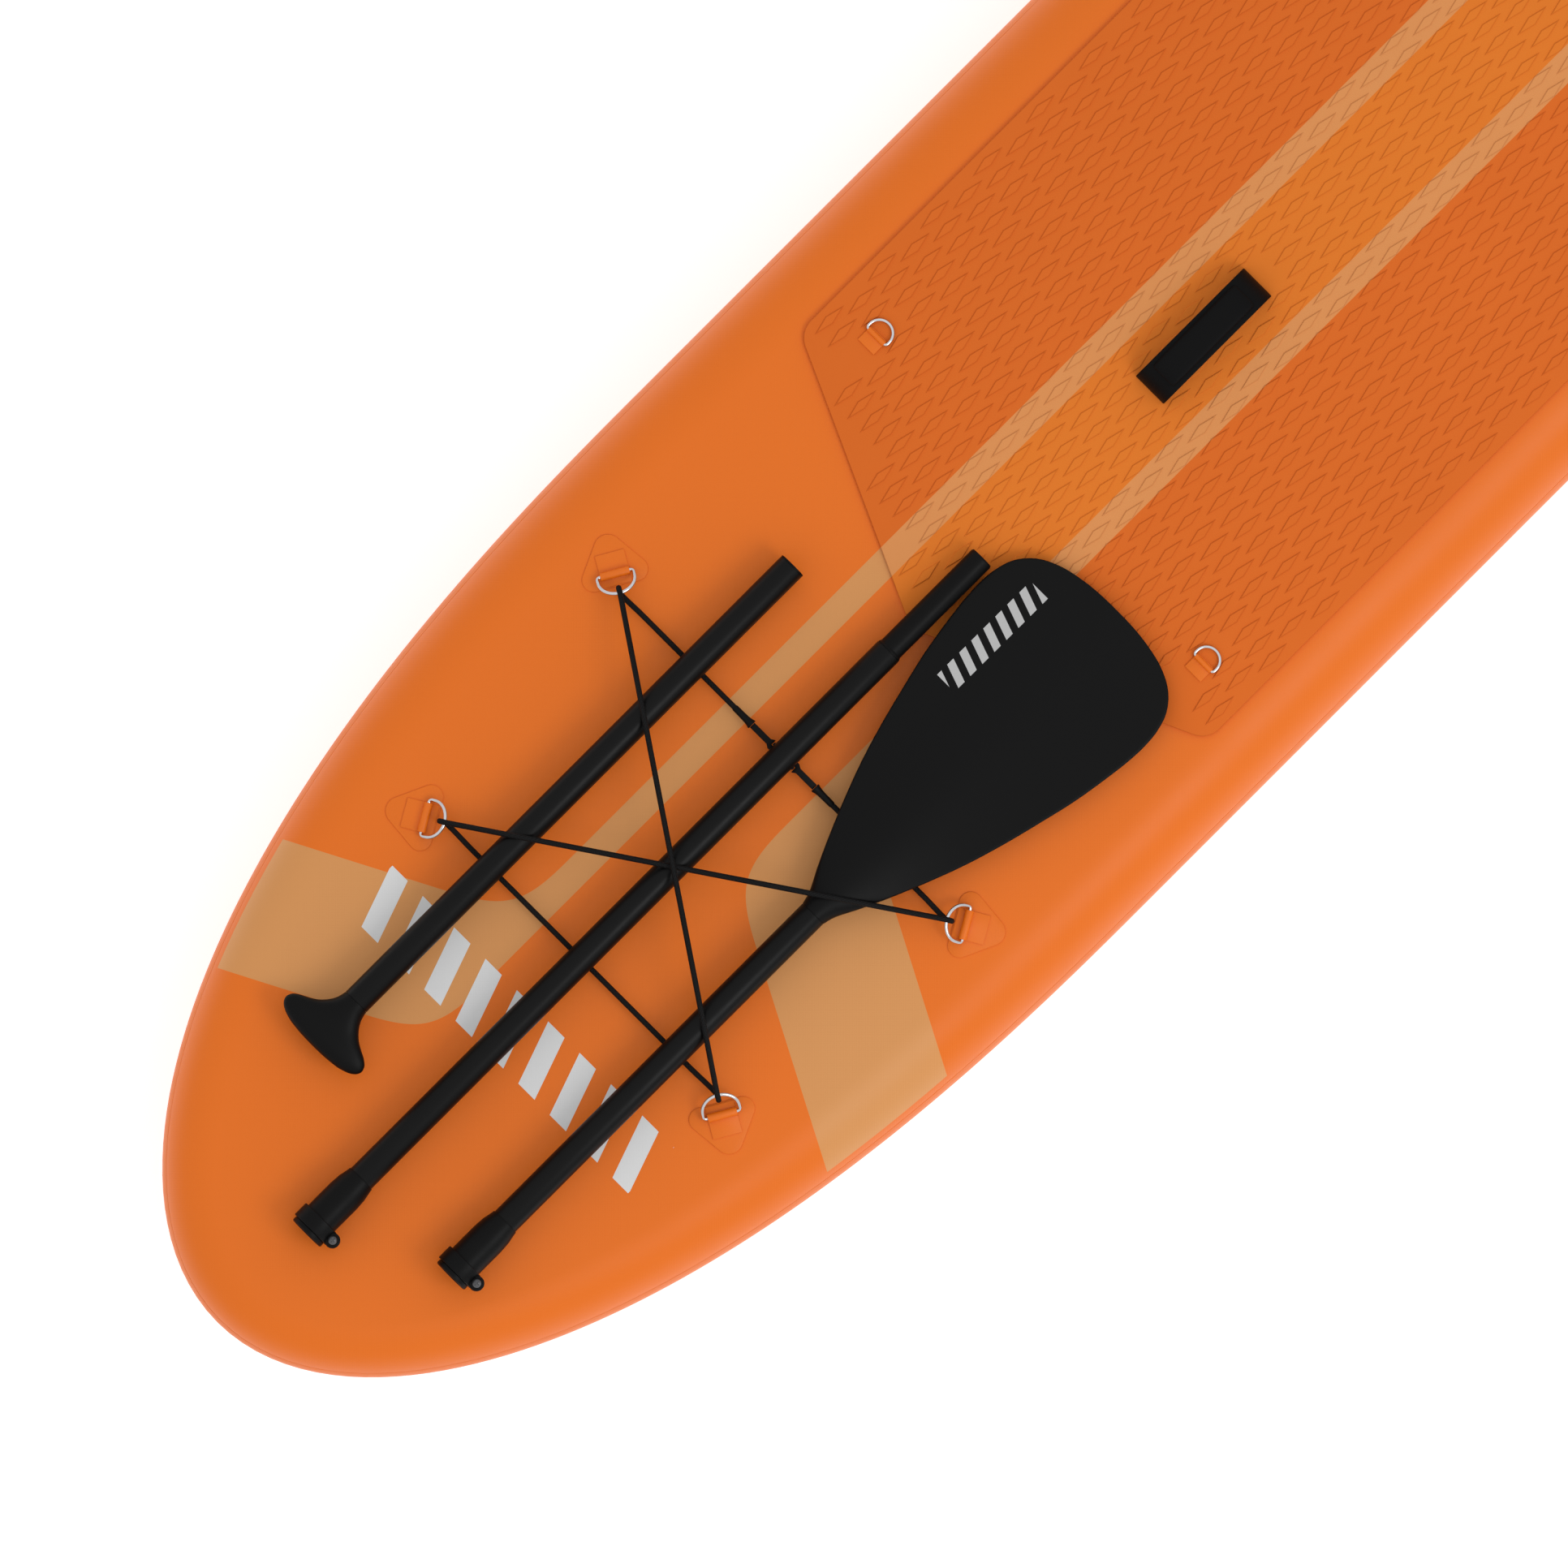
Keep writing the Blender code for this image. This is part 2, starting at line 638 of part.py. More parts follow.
def t_grip(holder):
    """The palm grip: a lens-shaped bar that sweeps into a neck, with a plug for the tube."""
    shape = [(0.020, 0.0005, 0.0045), (0.036, 0.0025, 0.0080), (0.048, 0.0065, 0.0108),
             (0.0545, 0.0115, 0.0125), (0.0567, 0.0170, 0.0130), (0.0545, 0.0235, 0.0132),
             (0.0485, 0.0285, 0.0134), (0.040, 0.0330, 0.0136), (0.031, 0.0385, 0.0140),
             (0.0235, 0.0460, 0.0146), (0.0185, 0.0540, 0.0152), (0.0160, 0.0620, 0.0155),
             (SHAFT_RADIUS, 0.0650, SHAFT_RADIUS)]
    start = down_shaft(0.2786)
    around = 22
    rings = []
    plug = SHAFT_RADIUS - SHAFT_WALL - GAP
    for wide, y, high in shape + [(plug, 0.0650, plug), (plug, 0.0900, plug)]:
        ring = []
        for k in range(around):
            a = 2 * pi * k / around
            ring.append(Vector((wide * cos(a), start + y, high * sin(a))))
        rings.append(ring)
    loft("t_grip", rings, PLASTIC, parent=holder)


BLADE_EDGE = [(0.752, 0.0155), (0.765, 0.0190), (0.790, 0.0315), (0.817, 0.0440),
              (0.860, 0.0620), (0.903, 0.0780), (0.946, 0.0910), (0.989, 0.1020),
              (1.032, 0.1120), (1.075, 0.1190), (1.105, 0.1225), (1.128, 0.1232),
              (1.148, 0.1210), (1.168, 0.1140), (1.186, 0.0980), (1.198, 0.0740),
              (1.2045, 0.0440), (1.2066, 0.0200)]


def paddle_blade(holder):
    """The blade: a round neck that flattens into a thin plate with a soft spine."""
    neck, tip = BLADE_EDGE[0][0], BLADE_EDGE[-1][0]
    across = 11
    rings = []
    for s, wide in BLADE_EDGE:
        part = (s - neck) / (tip - neck)
        middle = SHAFT_RADIUS * (1 - part) ** 2.8 + 0.0024
        middle = min(SHAFT_RADIUS, middle)
        flat = min(1.0, (s - neck) / 0.09)
        edge = SHAFT_RADIUS * 0.25 * (1 - flat) + 0.0014 * flat
        ring = []
        for k in range(2 * across):
            a = 2 * pi * k / (2 * across)
            side, up = cos(a), sin(a)
            round_part = middle * up
            crown = (1 - abs(side) ** 1.2) ** 1.2 * (middle - edge) + edge
            thin_part = crown * (1 if up > 0 else -1) * min(1.0, abs(up) * 4)
            height = round_part * (1 - flat) + thin_part * flat
            ring.append(Vector((wide * side, down_shaft(s), height)))
        rings.append(ring)
    plug = SHAFT_RADIUS - SHAFT_WALL - GAP
    stub = []
    for s in (neck - 0.030, neck):
        ring = []
        for k in range(2 * across):
            a = 2 * pi * k / (2 * across)
            ring.append(Vector((plug * cos(a), down_shaft(s), plug * sin(a))))
        stub.append(ring)
    loft("paddle_blade", stub + rings, PLASTIC, parent=holder)


def paddle():
    grip = section_frame("grip_section_axis", GRIP_X)
    t_grip(grip)
    shaft_tube("grip_shaft", grip, 0.2786 + 0.0650 + GAP, 0.996)
    start, end = down_shaft(0.984), down_shaft(0.998)
    inside = SHAFT_RADIUS - SHAFT_WALL - GAP
    lip = down_shaft(0.996) + GAP
    cap = [(0, end), (SHAFT_RADIUS - 0.0008, end), (SHAFT_RADIUS, end - 0.0006),
           (SHAFT_RADIUS, lip), (inside, lip), (inside, start), (0, start)]
    turned("grip_shaft_cap", cap, PLASTIC, parent=grip, turn=LENGTHWAYS)

    middle = section_frame("middle_section_axis", MIDDLE_X)
    socket("middle_socket", middle, 0.1333, SLEEVE_BORE)
    clamp("middle", middle, 0.1333)
    shaft_tube("middle_shaft", middle, 0.1333 + 0.0420, 1.005)
    inner = SHAFT_RADIUS - SHAFT_WALL - GAP
    start, end = down_shaft(0.955), down_shaft(1.1455)
    shoulder = down_shaft(1.005) + GAP
    hollow = SPIGOT_RADIUS - 0.002
    spigot = [(SPIGOT_RADIUS - 0.0012, end), (SPIGOT_RADIUS, end - 0.0018),
              (SPIGOT_RADIUS, shoulder + 0.003), (SHAFT_RADIUS - 0.0004, shoulder + 0.0008),
              (SHAFT_RADIUS - 0.0004, shoulder), (inner, shoulder), (inner, start),
              (hollow, start), (hollow, end)]
    turned("middle_spigot", spigot, PLASTIC, ring=True, parent=middle, turn=LENGTHWAYS)

    blade = section_frame("blade_section_axis", BLADE_X)
    socket("blade_socket", blade, 0.2090, SPIGOT_RADIUS + GAP)
    clamp("blade", blade, 0.2090)
    shaft_tube("blade_shaft", blade, 0.2090 + 0.0420, 0.752 - GAP)
    paddle_blade(blade)


# ---- Bungee ----------------------------------------------------------------------------------------


def shaft_axis_z(s):
    return deck_z(SHAFT_PIVOT) + SHAFT_BASE + SHAFT_RADIUS + SHAFT_SLOPE * (SHAFT_PIVOT - s)


WRAP = RING_WIRE + CORD_RADIUS + 0.0005
CROWN = SHAFT_RADIUS + CORD_RADIUS + 0.0006
CORD_STEP = 2 * CORD_RADIUS + 0.0006
JOINER_HALF = 0.047


def around_ring(bow, way, upwards):
    """The cord's turn round a ring's bow, from under it to over it, or back."""
    turns = [-90, -135, 180, 135, 90]
    points = []
    for angle in turns if upwards else reversed(turns):
        a = radians(angle)
        points.append(bow + way * WRAP * cos(a) + Vector((0, 0, WRAP * sin(a))))
    return points


def over_shafts(start, end, lift, leans):
    """The cord from one ring to the one across, over the three shafts."""
    run = end - start

    def at(x):
        part = (x - start.x) / run.x
        return start + run * part

    points = []
    order = [BLADE_X, MIDDLE_X, GRIP_X] if run.x < 0 else [GRIP_X, MIDDLE_X, BLADE_X]
    last = start
    for shaft in order:
        raised = lift if shaft == MIDDLE_X else 0
        crowns = []
        for lean in leans[shaft]:
            a = radians(lean)
            reach = CROWN + raised
            spot = at(shaft + reach * sin(a))
            axis = shaft_axis_z(spot.y + LENGTH / 2)
            crowns.append(Vector((spot.x, spot.y, axis + reach * cos(a))))
        points += between(last, crowns[0], 3)[1:-1] + crowns
        last = crowns[-1]
    return points + between(last, end, 4)[1:-1]


def between(one, two, steps):
    return [one.lerp(two, k / steps) for k in range(steps + 1)]


def bungee(bows):
    """One length of shock cord: rear left, front right, front left and rear right in turn."""
    (rear_left, way_rl), (front_right, way_fr) = bows["rear_left"], bows["front_right"]
    (front_left, way_fl), (rear_right, way_rr) = bows["front_left"], bows["rear_right"]
    down = Vector((0, 0, -WRAP))
    joiner = Vector((JOINER_HALF, rear_left.y, rear_left.z - WRAP))
    route = between(joiner, rear_left + down, 6)[:-1]
    route += around_ring(rear_left, way_rl, True)
    route += over_shafts(route[-1], front_right - down, 0.0,
                         {BLADE_X: (20, 10, -2), MIDDLE_X: (2, -2), GRIP_X: (0, -12, -26)})
    route += around_ring(front_right, way_fr, False)
    route += between(front_right + down, front_left + down, 10)[1:-1]
    route += around_ring(front_left, way_fl, True)
    route += over_shafts(route[-1], rear_right - down, CORD_STEP,
                         {BLADE_X: (26, 12, 0), MIDDLE_X: (2, -2), GRIP_X: (2, -10, -20)})
    route += around_ring(rear_right, way_rr, False)
    end = Vector((-JOINER_HALF, joiner.y, joiner.z))
    route += between(rear_right + down, end, 6)[1:]
    tube("bungee_cord", route, CORD_RADIUS, SHOCK_CORD)

    half, thick, split = 0.0035, 0.0030, 0.0002
    outline = [(JOINER_HALF - GAP, -half), (JOINER_HALF - GAP, half), (0.022, half),
               (0.018, 0.006), (-0.013, 0.006), (-0.017, half), (-0.017, split),
               (-0.0098, split), (-0.0098, -0.0024), (-0.0032, -0.0024), (-0.0032, split),
               (0.0026, split), (0.0026, 0.0030), (0.0104, 0.0030), (0.0104, split),
               (0.0175, split), (0.0175, -0.006), (0.0185, -0.006), (0.022, -half)]
    for name, turn in (("bungee_hook_left", 0.0), ("bungee_hook_right", pi)):
        plate(name, [outline], thick, PLASTIC, at=(0, joiner.y, joiner.z), turn=(0, 0, turn))


# ---- Carry handle ----------------------------------------------------------------------------------


def handle_line(y, rise):
    """Height of the handle above the pad at y from its middle."""
    part = abs(y) / (HANDLE_LENGTH / 2)
    return rise * (1 - part ** 5) ** (1 / 2.4)


def handle_band(name, length, width, thickness, lift, finish):
    """A strip that follows the handle's arch."""
    steps = 22
    half = HANDLE_LENGTH / 2
    bm = bmesh.new()
    rows = []
    base = deck_z(HANDLE_S) + PAD_THICKNESS
    for k in range(steps + 1):
        a = pi * k / steps
        y = -cos(a) * length / 2
        z = base + handle_line(min(abs(y), half), HANDLE_HEIGHT) + lift
        rows.append([bm.verts.new((x, y, z)) for x in (-width / 2, 0, width / 2)])
    for one, two in zip(rows, rows[1:]):
        for i in range(2):
            bm.faces.new((one[i], one[i + 1], two[i + 1], two[i]))
    made = place(mesh_of(bm, name), name, finish, at=(0, along(HANDLE_S), 0))
    shell = made.modifiers.new("strap", "SOLIDIFY")
    shell.thickness = thickness
    shell.offset = -1
    shell.use_even_offset = True
    return made


def handle():
    """A webbing strap arched over the pad, with a padded grip on it."""
    handle_band("handle_strap", HANDLE_LENGTH, HANDLE_WIDTH, HANDLE_STRAP, 0.0005, WEBBING_BLACK)
    grip = handle_band("handle_grip", HANDLE_GRIP_LENGTH, HANDLE_GRIP_WIDTH,
                       HANDLE_GRIP_THICKNESS, 0.001 + GAP + HANDLE_GRIP_THICKNESS, WEBBING_BLACK)
    grip.modifiers["strap"].use_even_offset = False


# ---- Valve -----------------------------------------------------------------------------------------


def valve():
    """An inflation valve in the tail deck: cup, spring, plunger and flip cap."""
    top = deck_z(VALVE_S) + GAP
    holder = frame_empty("valve_frame", (0, along(VALVE_S), top), (deck_tilt(VALVE_S), 0, 0))
    r = VALVE_RADIUS
    profile = [(r - 0.003, 0.003), (0.030, 0.0024), (0.0315, 0.0012), (0.0315, 0), (r, 0),
               (r, -0.030), (0.0032, -0.030), (0.0032, -0.0265), (r - 0.003, -0.0265)]
    body = turned("valve_body", profile, PLASTIC, ring=True, parent=holder)
    for k in range(6):
        a = 2 * pi * k / 6
        port = rod(f"valve_port_{k}", 0.0036, -0.034, -0.022, PLASTIC, steps=12, parent=holder,
                   at=(0.0125 * cos(a), 0.0125 * sin(a), 0))
        combine(body, port, "DIFFERENCE")
    stem, button = 0.0027, 0.0062
    plunger = [(0, -0.006), (button - 0.001, -0.006), (button, -0.007), (button, -0.010),
               (stem, -0.010), (stem, -0.0306), (0.0185, -0.0306), (0.0185, -0.0336),
               (0, -0.0336)]
    turned("valve_plunger", plunger, PLASTIC, steps=20, parent=holder)
    turns, per_turn = 4, 10
    low, high, wire = -0.0265 + GAP, -0.010 - GAP, 0.0006
    count = turns * per_turn
    coil = []
    for k in range(count + 1):
        a = 2 * pi * k / per_turn
        z = low + wire + (high - low - 2 * wire) * k / count
        coil.append((0.0048 * cos(a), 0.0048 * sin(a), z))
    tube("valve_spring", coil, wire, STEEL, parent=holder)

    hinge_y, hinge_z = 0.0345, 0.0052
    pivot = frame_empty("valve_cap_axis", (0, hinge_y, hinge_z), parent=holder)
    under = 0.003 + GAP - hinge_z
    lid = [(0, 0.0075 - hinge_z), (0.026, 0.0070 - hinge_z), (0.0285, 0.0055 - hinge_z),
           (0.0285, under), (0.0200, under), (0.0200, -0.001 - hinge_z), (0.0180, -0.001 - hinge_z),
           (0.0180, under + 0.001), (0, under + 0.001)]
    cap = turned("valve_cap", lid, PLASTIC, parent=pivot, at=(0, -hinge_y, 0))
    arm = box("valve_cap_arm", (-0.0045, -0.0100, -0.0012), (0.0045, 0.0, 0.0016), PLASTIC,
              parent=pivot)
    barrel = rod("valve_cap_barrel", 0.0026, -0.0045, 0.0045, PLASTIC, steps=16, parent=pivot,
                 turn=(0, pi / 2, 0))
    eye = rod("valve_cap_eye", 0.0013, -0.01, 0.01, PLASTIC, steps=12, parent=pivot,
              turn=(0, pi / 2, 0))
    combine(cap, arm, "UNION")
    combine(cap, barrel, "UNION")
    combine(cap, eye, "DIFFERENCE")
    rod("valve_hinge_pin", 0.0010, -0.0072, 0.0072, STEEL, steps=12, parent=pivot,
        turn=(0, pi / 2, 0))
    ears = []
    for side in (-1, 1):
        low_x, high_x = sorted((side * 0.0049, side * 0.0078))
        ear = box(f"valve_ear_{side}", (low_x, 0.0290, 0.0003), (high_x, 0.0372, 0.0078), PLASTIC,
                  parent=holder)
        ears.append(ear)
    hole = rod("valve_ear_hole", 0.0013, -0.0074, 0.0074, PLASTIC, steps=12,
               at=(0, hinge_y, hinge_z), parent=holder, turn=(0, pi / 2, 0))
    for ear in ears:
        combine(body, ear, "UNION")
    combine(body, hole, "DIFFERENCE")


def leash_anchor():
    """The ring at the tail for a leash, on a round patch."""
    s = LEASH_S
    on_deck = frame_empty("leash_frame", (0, along(s), deck_z(s)), (deck_tilt(s), 0, 0))
    disc = [(0.034 * cos(a), 0.034 * sin(a)) for a in [2 * pi * k / 32 for k in range(32)]]
    plate("leash_patch", [disc], PATCH_THICKNESS / 2, ORANGE, parent=on_deck,
          at=(0, 0.0, GAP + PATCH_THICKNESS / 2))
    base = 2 * GAP + PATCH_THICKNESS
    section = strap_section(ROLL_RADIUS, RING_WIRE, base, 0.020, 0.008)
    plate("leash_strap", section, ROLL_HALF, WEBBING_ORANGE, parent=on_deck,
          turn=(pi / 2, 0, pi / 2))
    drop = -asin((ROLL_RADIUS - RING_WIRE - 0.0004) / RING_DEPTH)
    d_ring("leash_ring", RING_HALF, RING_DEPTH, RING_LEG, RING_WIRE, on_deck,
           (0, 0, base + ROLL_RADIUS), drop)


# ---- Fins ------------------------------------------------------------------------------------------


def foil(name, root, depth, rake, thickness, finish, top=0.0, **where):
    """A raked fin from z = top down by depth: chords shrink towards a rounded tip."""
    levels = 9
    around = 16
    rings = []
    for j in range(levels + 1):
        part = j / levels
        chord = root * (1 - 0.62 * part ** 1.3) * sqrt(max(0.03, 1 - part ** 5))
        thick = thickness * (1 - 0.65 * part)
        start = -root / 2 + rake * part ** 1.25
        ring = []
        for k in range(around):
            a = 2 * pi * k / around
            y = start + chord * (1 - cos(a)) / 2
            x = thick / 2 * sin(a) * (1 + 0.35 * cos(a))
            ring.append(Vector((x, y, top - depth * part)))
        rings.append(ring)
    return loft(name, rings, finish, **where)


def to_floor(z, tilt, root, rake):
    """How far below its tilted frame at height z a fin's tip reaches the floor."""
    return (z + (rake - root / 2) * sin(tilt)) / cos(tilt)


def fins():
    under = bottom_z(FIN_BOX_S) - GAP
    tilt = atan((bottom_z(FIN_BOX_S + 0.01) - bottom_z(FIN_BOX_S - 0.01)) / 0.02)
    holder = frame_empty("fin_box_frame", (0, along(FIN_BOX_S), under), (tilt, 0, 0))
    channel = box("fin_box", (-0.015, -0.130, -0.027), (0.015, 0.130, 0), PLASTIC, bevel=0.002,
                  parent=holder)
    flange = box("fin_box_flange", (-0.045, -0.150, -0.005), (0.045, 0.150, 0), PLASTIC,
                 bevel=0.0015, parent=holder)
    slot = box("fin_box_slot", (-0.0048, -0.110, -0.040), (0.0048, 0.110, -0.006), PLASTIC,
               parent=holder)
    groove = box("fin_box_groove", (-0.0095, -0.110, -0.0155), (0.0095, 0.110, -0.0085), PLASTIC,
                 parent=holder)
    way_in = box("fin_box_way_in", (-0.0095, -0.011, -0.040), (0.0095, 0.011, -0.0085), PLASTIC,
                 parent=holder)
    combine(channel, flange, "UNION")
    for cutter in (slot, groove, way_in):
        combine(channel, cutter, "DIFFERENCE")

    mover = frame_empty("centre_fin_axis", (0, 0, 0), parent=holder)
    top = -0.0277
    root, rake, screw_y = 0.138, 0.085, 0.0770
    fin = foil("centre_fin", root, to_floor(under, tilt, root, rake) + top, rake, 0.0085,
               FIN_PLASTIC, top=top, parent=mover)
    tab = box("centre_fin_tab", (-0.0040, -0.078, -0.034), (0.0040, 0.060, -0.0070), FIN_PLASTIC,
              parent=mover)
    ear = box("centre_fin_ear", (-0.0040, 0.055, -0.0265), (0.0040, 0.085, -0.0165), FIN_PLASTIC,
              parent=mover)
    pin_hole = rod("centre_fin_pin_hole", 0.0029, -0.02, 0.02, FIN_PLASTIC, steps=16,
                   at=(0, -0.066, -0.0120), parent=mover, turn=(0, pi / 2, 0))
    screw_hole = rod("centre_fin_screw_hole", 0.0024, -0.05, 0.0, FIN_PLASTIC, steps=16,
                     at=(0, screw_y, 0), parent=mover)
    combine(fin, tab, "UNION")
    combine(fin, ear, "UNION")
    combine(fin, pin_hole, "DIFFERENCE")
    combine(fin, screw_hole, "DIFFERENCE")
    rod("fin_roller_pin", 0.0026, -0.0090, 0.0090, STEEL, steps=16, at=(0, -0.066, -0.0120),
        parent=mover, turn=(0, pi / 2, 0))
    nut = box("fin_plate", (-0.0085, 0.0715, -0.0150), (0.0085, 0.0825, -0.0120), STEEL,
              parent=mover)
    thread = rod("fin_plate_hole", 0.0023, -0.05, 0.0, STEEL, steps=16, at=(0, screw_y, 0),
                 parent=mover)
    combine(nut, thread, "DIFFERENCE")
    head = -0.0265 - GAP
    profile = [(0, -0.0085), (0.0019, -0.0085), (0.0019, head), (0.0042, head),
               (0.0046, head - 0.0006), (0.0040, head - 0.0030), (0, head - 0.0034)]
    turned("fin_screw", profile, STEEL, steps=20, parent=mover, at=(0, screw_y, 0))

    for word, side in (("left", 1), ("right", -1)):
        s = SIDE_FIN_S
        z = bottom_z(s) - GAP
        lean = atan((bottom_z(s + 0.01) - bottom_z(s - 0.01)) / 0.02)
        stand = frame_empty(f"side_fin_{word}_frame", (side * SIDE_FIN_X, along(s), z),
                            (lean, 0, side * radians(2)))
        base = box(f"side_fin_{word}", (-0.014, -0.070, -0.003), (0.014, 0.075, 0), FIN_PLASTIC,
                   bevel=0.001, parent=stand)
        blade = foil(f"side_fin_{word}_foil", 0.120, to_floor(z, lean, 0.120, 0.075) - 0.001,
                     0.075, 0.0065, FIN_PLASTIC, top=-0.001, parent=stand)
        combine(base, blade, "UNION")


# ---- Assembly --------------------------------------------------------------------------------------

valve_well = rod("valve_well", VALVE_RADIUS + 0.0005, DECK_Z - 0.02, DECK_Z + 0.05, ORANGE,
                 at=(0, along(VALVE_S), 0))
flat_sheet("deck_panel", 1, valve_well)
flat_sheet("bottom_panel", -1)
rail_band()
drop_stitch_core()
traction_pad()

rings = {}
rings["front_left"] = anchor("front_left", 1, FRONT_ANCHOR, 1)
rings["front_right"] = anchor("front_right", -1, FRONT_ANCHOR, 1)
rings["rear_left"] = anchor("rear_left", 1, REAR_ANCHOR, -1)
rings["rear_right"] = anchor("rear_right", -1, REAR_ANCHOR, -1)
paddle()
bungee(rings)

for word, side in (("left", 1), ("right", -1)):
    small_anchor(f"seat_front_{word}", side * SEAT_RING_X, SEAT_RING_FRONT, 1)
    small_anchor(f"seat_rear_{word}", side * SEAT_RING_X, SEAT_RING_REAR, -1)

handle()
valve()
leash_anchor()
fins()
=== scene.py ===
"""Looks for an inflatable stand up paddleboard with its three-piece paddle stowed on the nose.

Metres, +Z up, nose towards -Y, +X on the rider's left. Each operator makes one piece or one
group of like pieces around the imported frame, and the panel lists them. A place along the board
is given by s, the distance from the nose tip.
"""

from math import asin, atan, cos, dist, exp, hypot, pi, radians, sin, sqrt, tan

import bmesh
import bpy
from bpy.props import FloatProperty, FloatVectorProperty, IntProperty, PointerProperty
from mathutils import Matrix, Vector


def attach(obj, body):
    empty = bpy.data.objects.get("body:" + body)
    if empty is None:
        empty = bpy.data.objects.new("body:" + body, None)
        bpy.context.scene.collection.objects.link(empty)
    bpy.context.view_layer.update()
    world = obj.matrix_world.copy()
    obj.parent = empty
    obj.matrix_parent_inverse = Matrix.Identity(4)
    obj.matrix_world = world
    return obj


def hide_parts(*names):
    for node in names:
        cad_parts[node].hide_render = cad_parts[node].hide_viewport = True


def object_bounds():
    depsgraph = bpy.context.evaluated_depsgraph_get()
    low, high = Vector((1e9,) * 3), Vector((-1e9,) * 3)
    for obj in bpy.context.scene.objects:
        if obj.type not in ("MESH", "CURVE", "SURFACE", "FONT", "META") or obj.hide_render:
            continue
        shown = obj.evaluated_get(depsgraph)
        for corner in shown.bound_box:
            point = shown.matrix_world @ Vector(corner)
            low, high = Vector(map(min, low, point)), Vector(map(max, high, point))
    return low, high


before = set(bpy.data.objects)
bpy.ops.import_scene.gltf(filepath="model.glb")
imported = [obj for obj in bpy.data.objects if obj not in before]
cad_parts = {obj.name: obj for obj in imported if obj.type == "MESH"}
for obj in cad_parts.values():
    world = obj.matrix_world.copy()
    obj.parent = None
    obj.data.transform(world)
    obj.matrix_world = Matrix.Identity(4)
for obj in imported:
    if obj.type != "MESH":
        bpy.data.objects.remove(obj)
CAD_BOX = [list(corner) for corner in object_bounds()]

bl_info = {
    "name": "Stand Up Paddleboard",
    "version": (1, 0, 0),
    "blender": (4, 5, 0),
    "location": "3D View > Sidebar > Paddleboard",
    "description": "Fabric, foam, webbing, steel and plastic for an inflatable paddleboard",
    "category": "Object",
}

# ---- Sizes the frame was designed with ----------------------------------------------------------

LENGTH = CAD_BOX[1][1] - CAD_BOX[0][1]
WIDTH = CAD_BOX[1][0] - CAD_BOX[0][0]
THICKNESS = 0.150
FIN_DEPTH = 0.115
GAP = 0.0003
NOSE_RUN, NOSE_FULLNESS = 1.0, 2.4
TAIL_RUN, TAIL_FULLNESS, TAIL_BLUNTNESS = 0.85, 3.2, 2.6
NOSE_ROCKER_RUN, NOSE_ROCKER, NOSE_LIFT = 0.95, 0.085, 0.040
TAIL_ROCKER_RUN, TAIL_ROCKER, TAIL_LIFT = 0.60, 0.020, 0.012
SKIN = 0.0015
STATIONS = 200
RAIL_STEPS = 24

PAD_THICKNESS = 0.005
PAD_APEX, PAD_CORNER, PAD_END, PAD_HALF = 1.039, 1.178, 2.70, 0.306
PAD_CORNER_RADIUS, PAD_MARGIN, PAD_FIRST_ROW = 0.026, 0.006, 0.012

SHAFT_RADIUS, SHAFT_WALL, SPIGOT_RADIUS = 0.0155, 0.0013, 0.0138
SLEEVE_RADIUS, SLEEVE_BORE = 0.0198, 0.0158
CLAMP_RADIUS, CLAMP_WIDTH, CLAMP_START = 0.0232, 0.017, 0.0058
BOSS_OFFSET, BOSS_RADIUS, BOSS_HEIGHT = 0.0250, 0.0082, 0.026
SCREW_HEAD_RADIUS, SCREW_HEAD_HEIGHT, SCREW_RADIUS = 0.0047, 0.0028, 0.0020
SHAFT_SLOPE, SHAFT_PIVOT, SHAFT_BASE = 0.0353, 0.852, 0.0181
GRIP_X, MIDDLE_X, BLADE_X = -0.136, 0.0, 0.140
GRIP_TOP, MIDDLE_MOUTH, BLADE_MOUTH, BLADE_NECK = 0.2786, 0.1333, 0.2090, 0.752
GRIP_LENGTHWISE, SLEEVE_LENGTH, SLEEVE_DEPTH, TUBE_SEAT = 0.0650, 0.082, 0.0415, 0.0420
GRIP_TUBE_END, GRIP_CAP_START, GRIP_CAP_END = 0.996, 0.984, 0.998
MIDDLE_TUBE_END, SPIGOT_START, SPIGOT_END = 1.005, 0.955, 1.1455

CORD_RADIUS = 0.003
RING_WIRE, RING_HALF, RING_DEPTH, RING_LEG = 0.002, 0.020, 0.025, 0.007
RING_TILT = radians(32)
ROLL_RADIUS, ROLL_HALF = 0.00465, 0.016
PATCH_THICKNESS, WEBBING = 0.0012, 0.0014
ANCHOR_TURN = radians(30)
FRONT_ANCHOR, REAR_ANCHOR = (0.2227, 0.5332), (0.2632, 0.8583)
SMALL_WIRE, SMALL_HALF, SMALL_DEPTH, SMALL_LEG = 0.00175, 0.01425, 0.0190, 0.005
SMALL_ROLL, SMALL_ROLL_HALF, RING_CLEARANCE = 0.0031, 0.0118, 0.0004
SEAT_RING_X, SEAT_RING_FRONT, SEAT_RING_REAR = 0.245, 1.232, 2.150

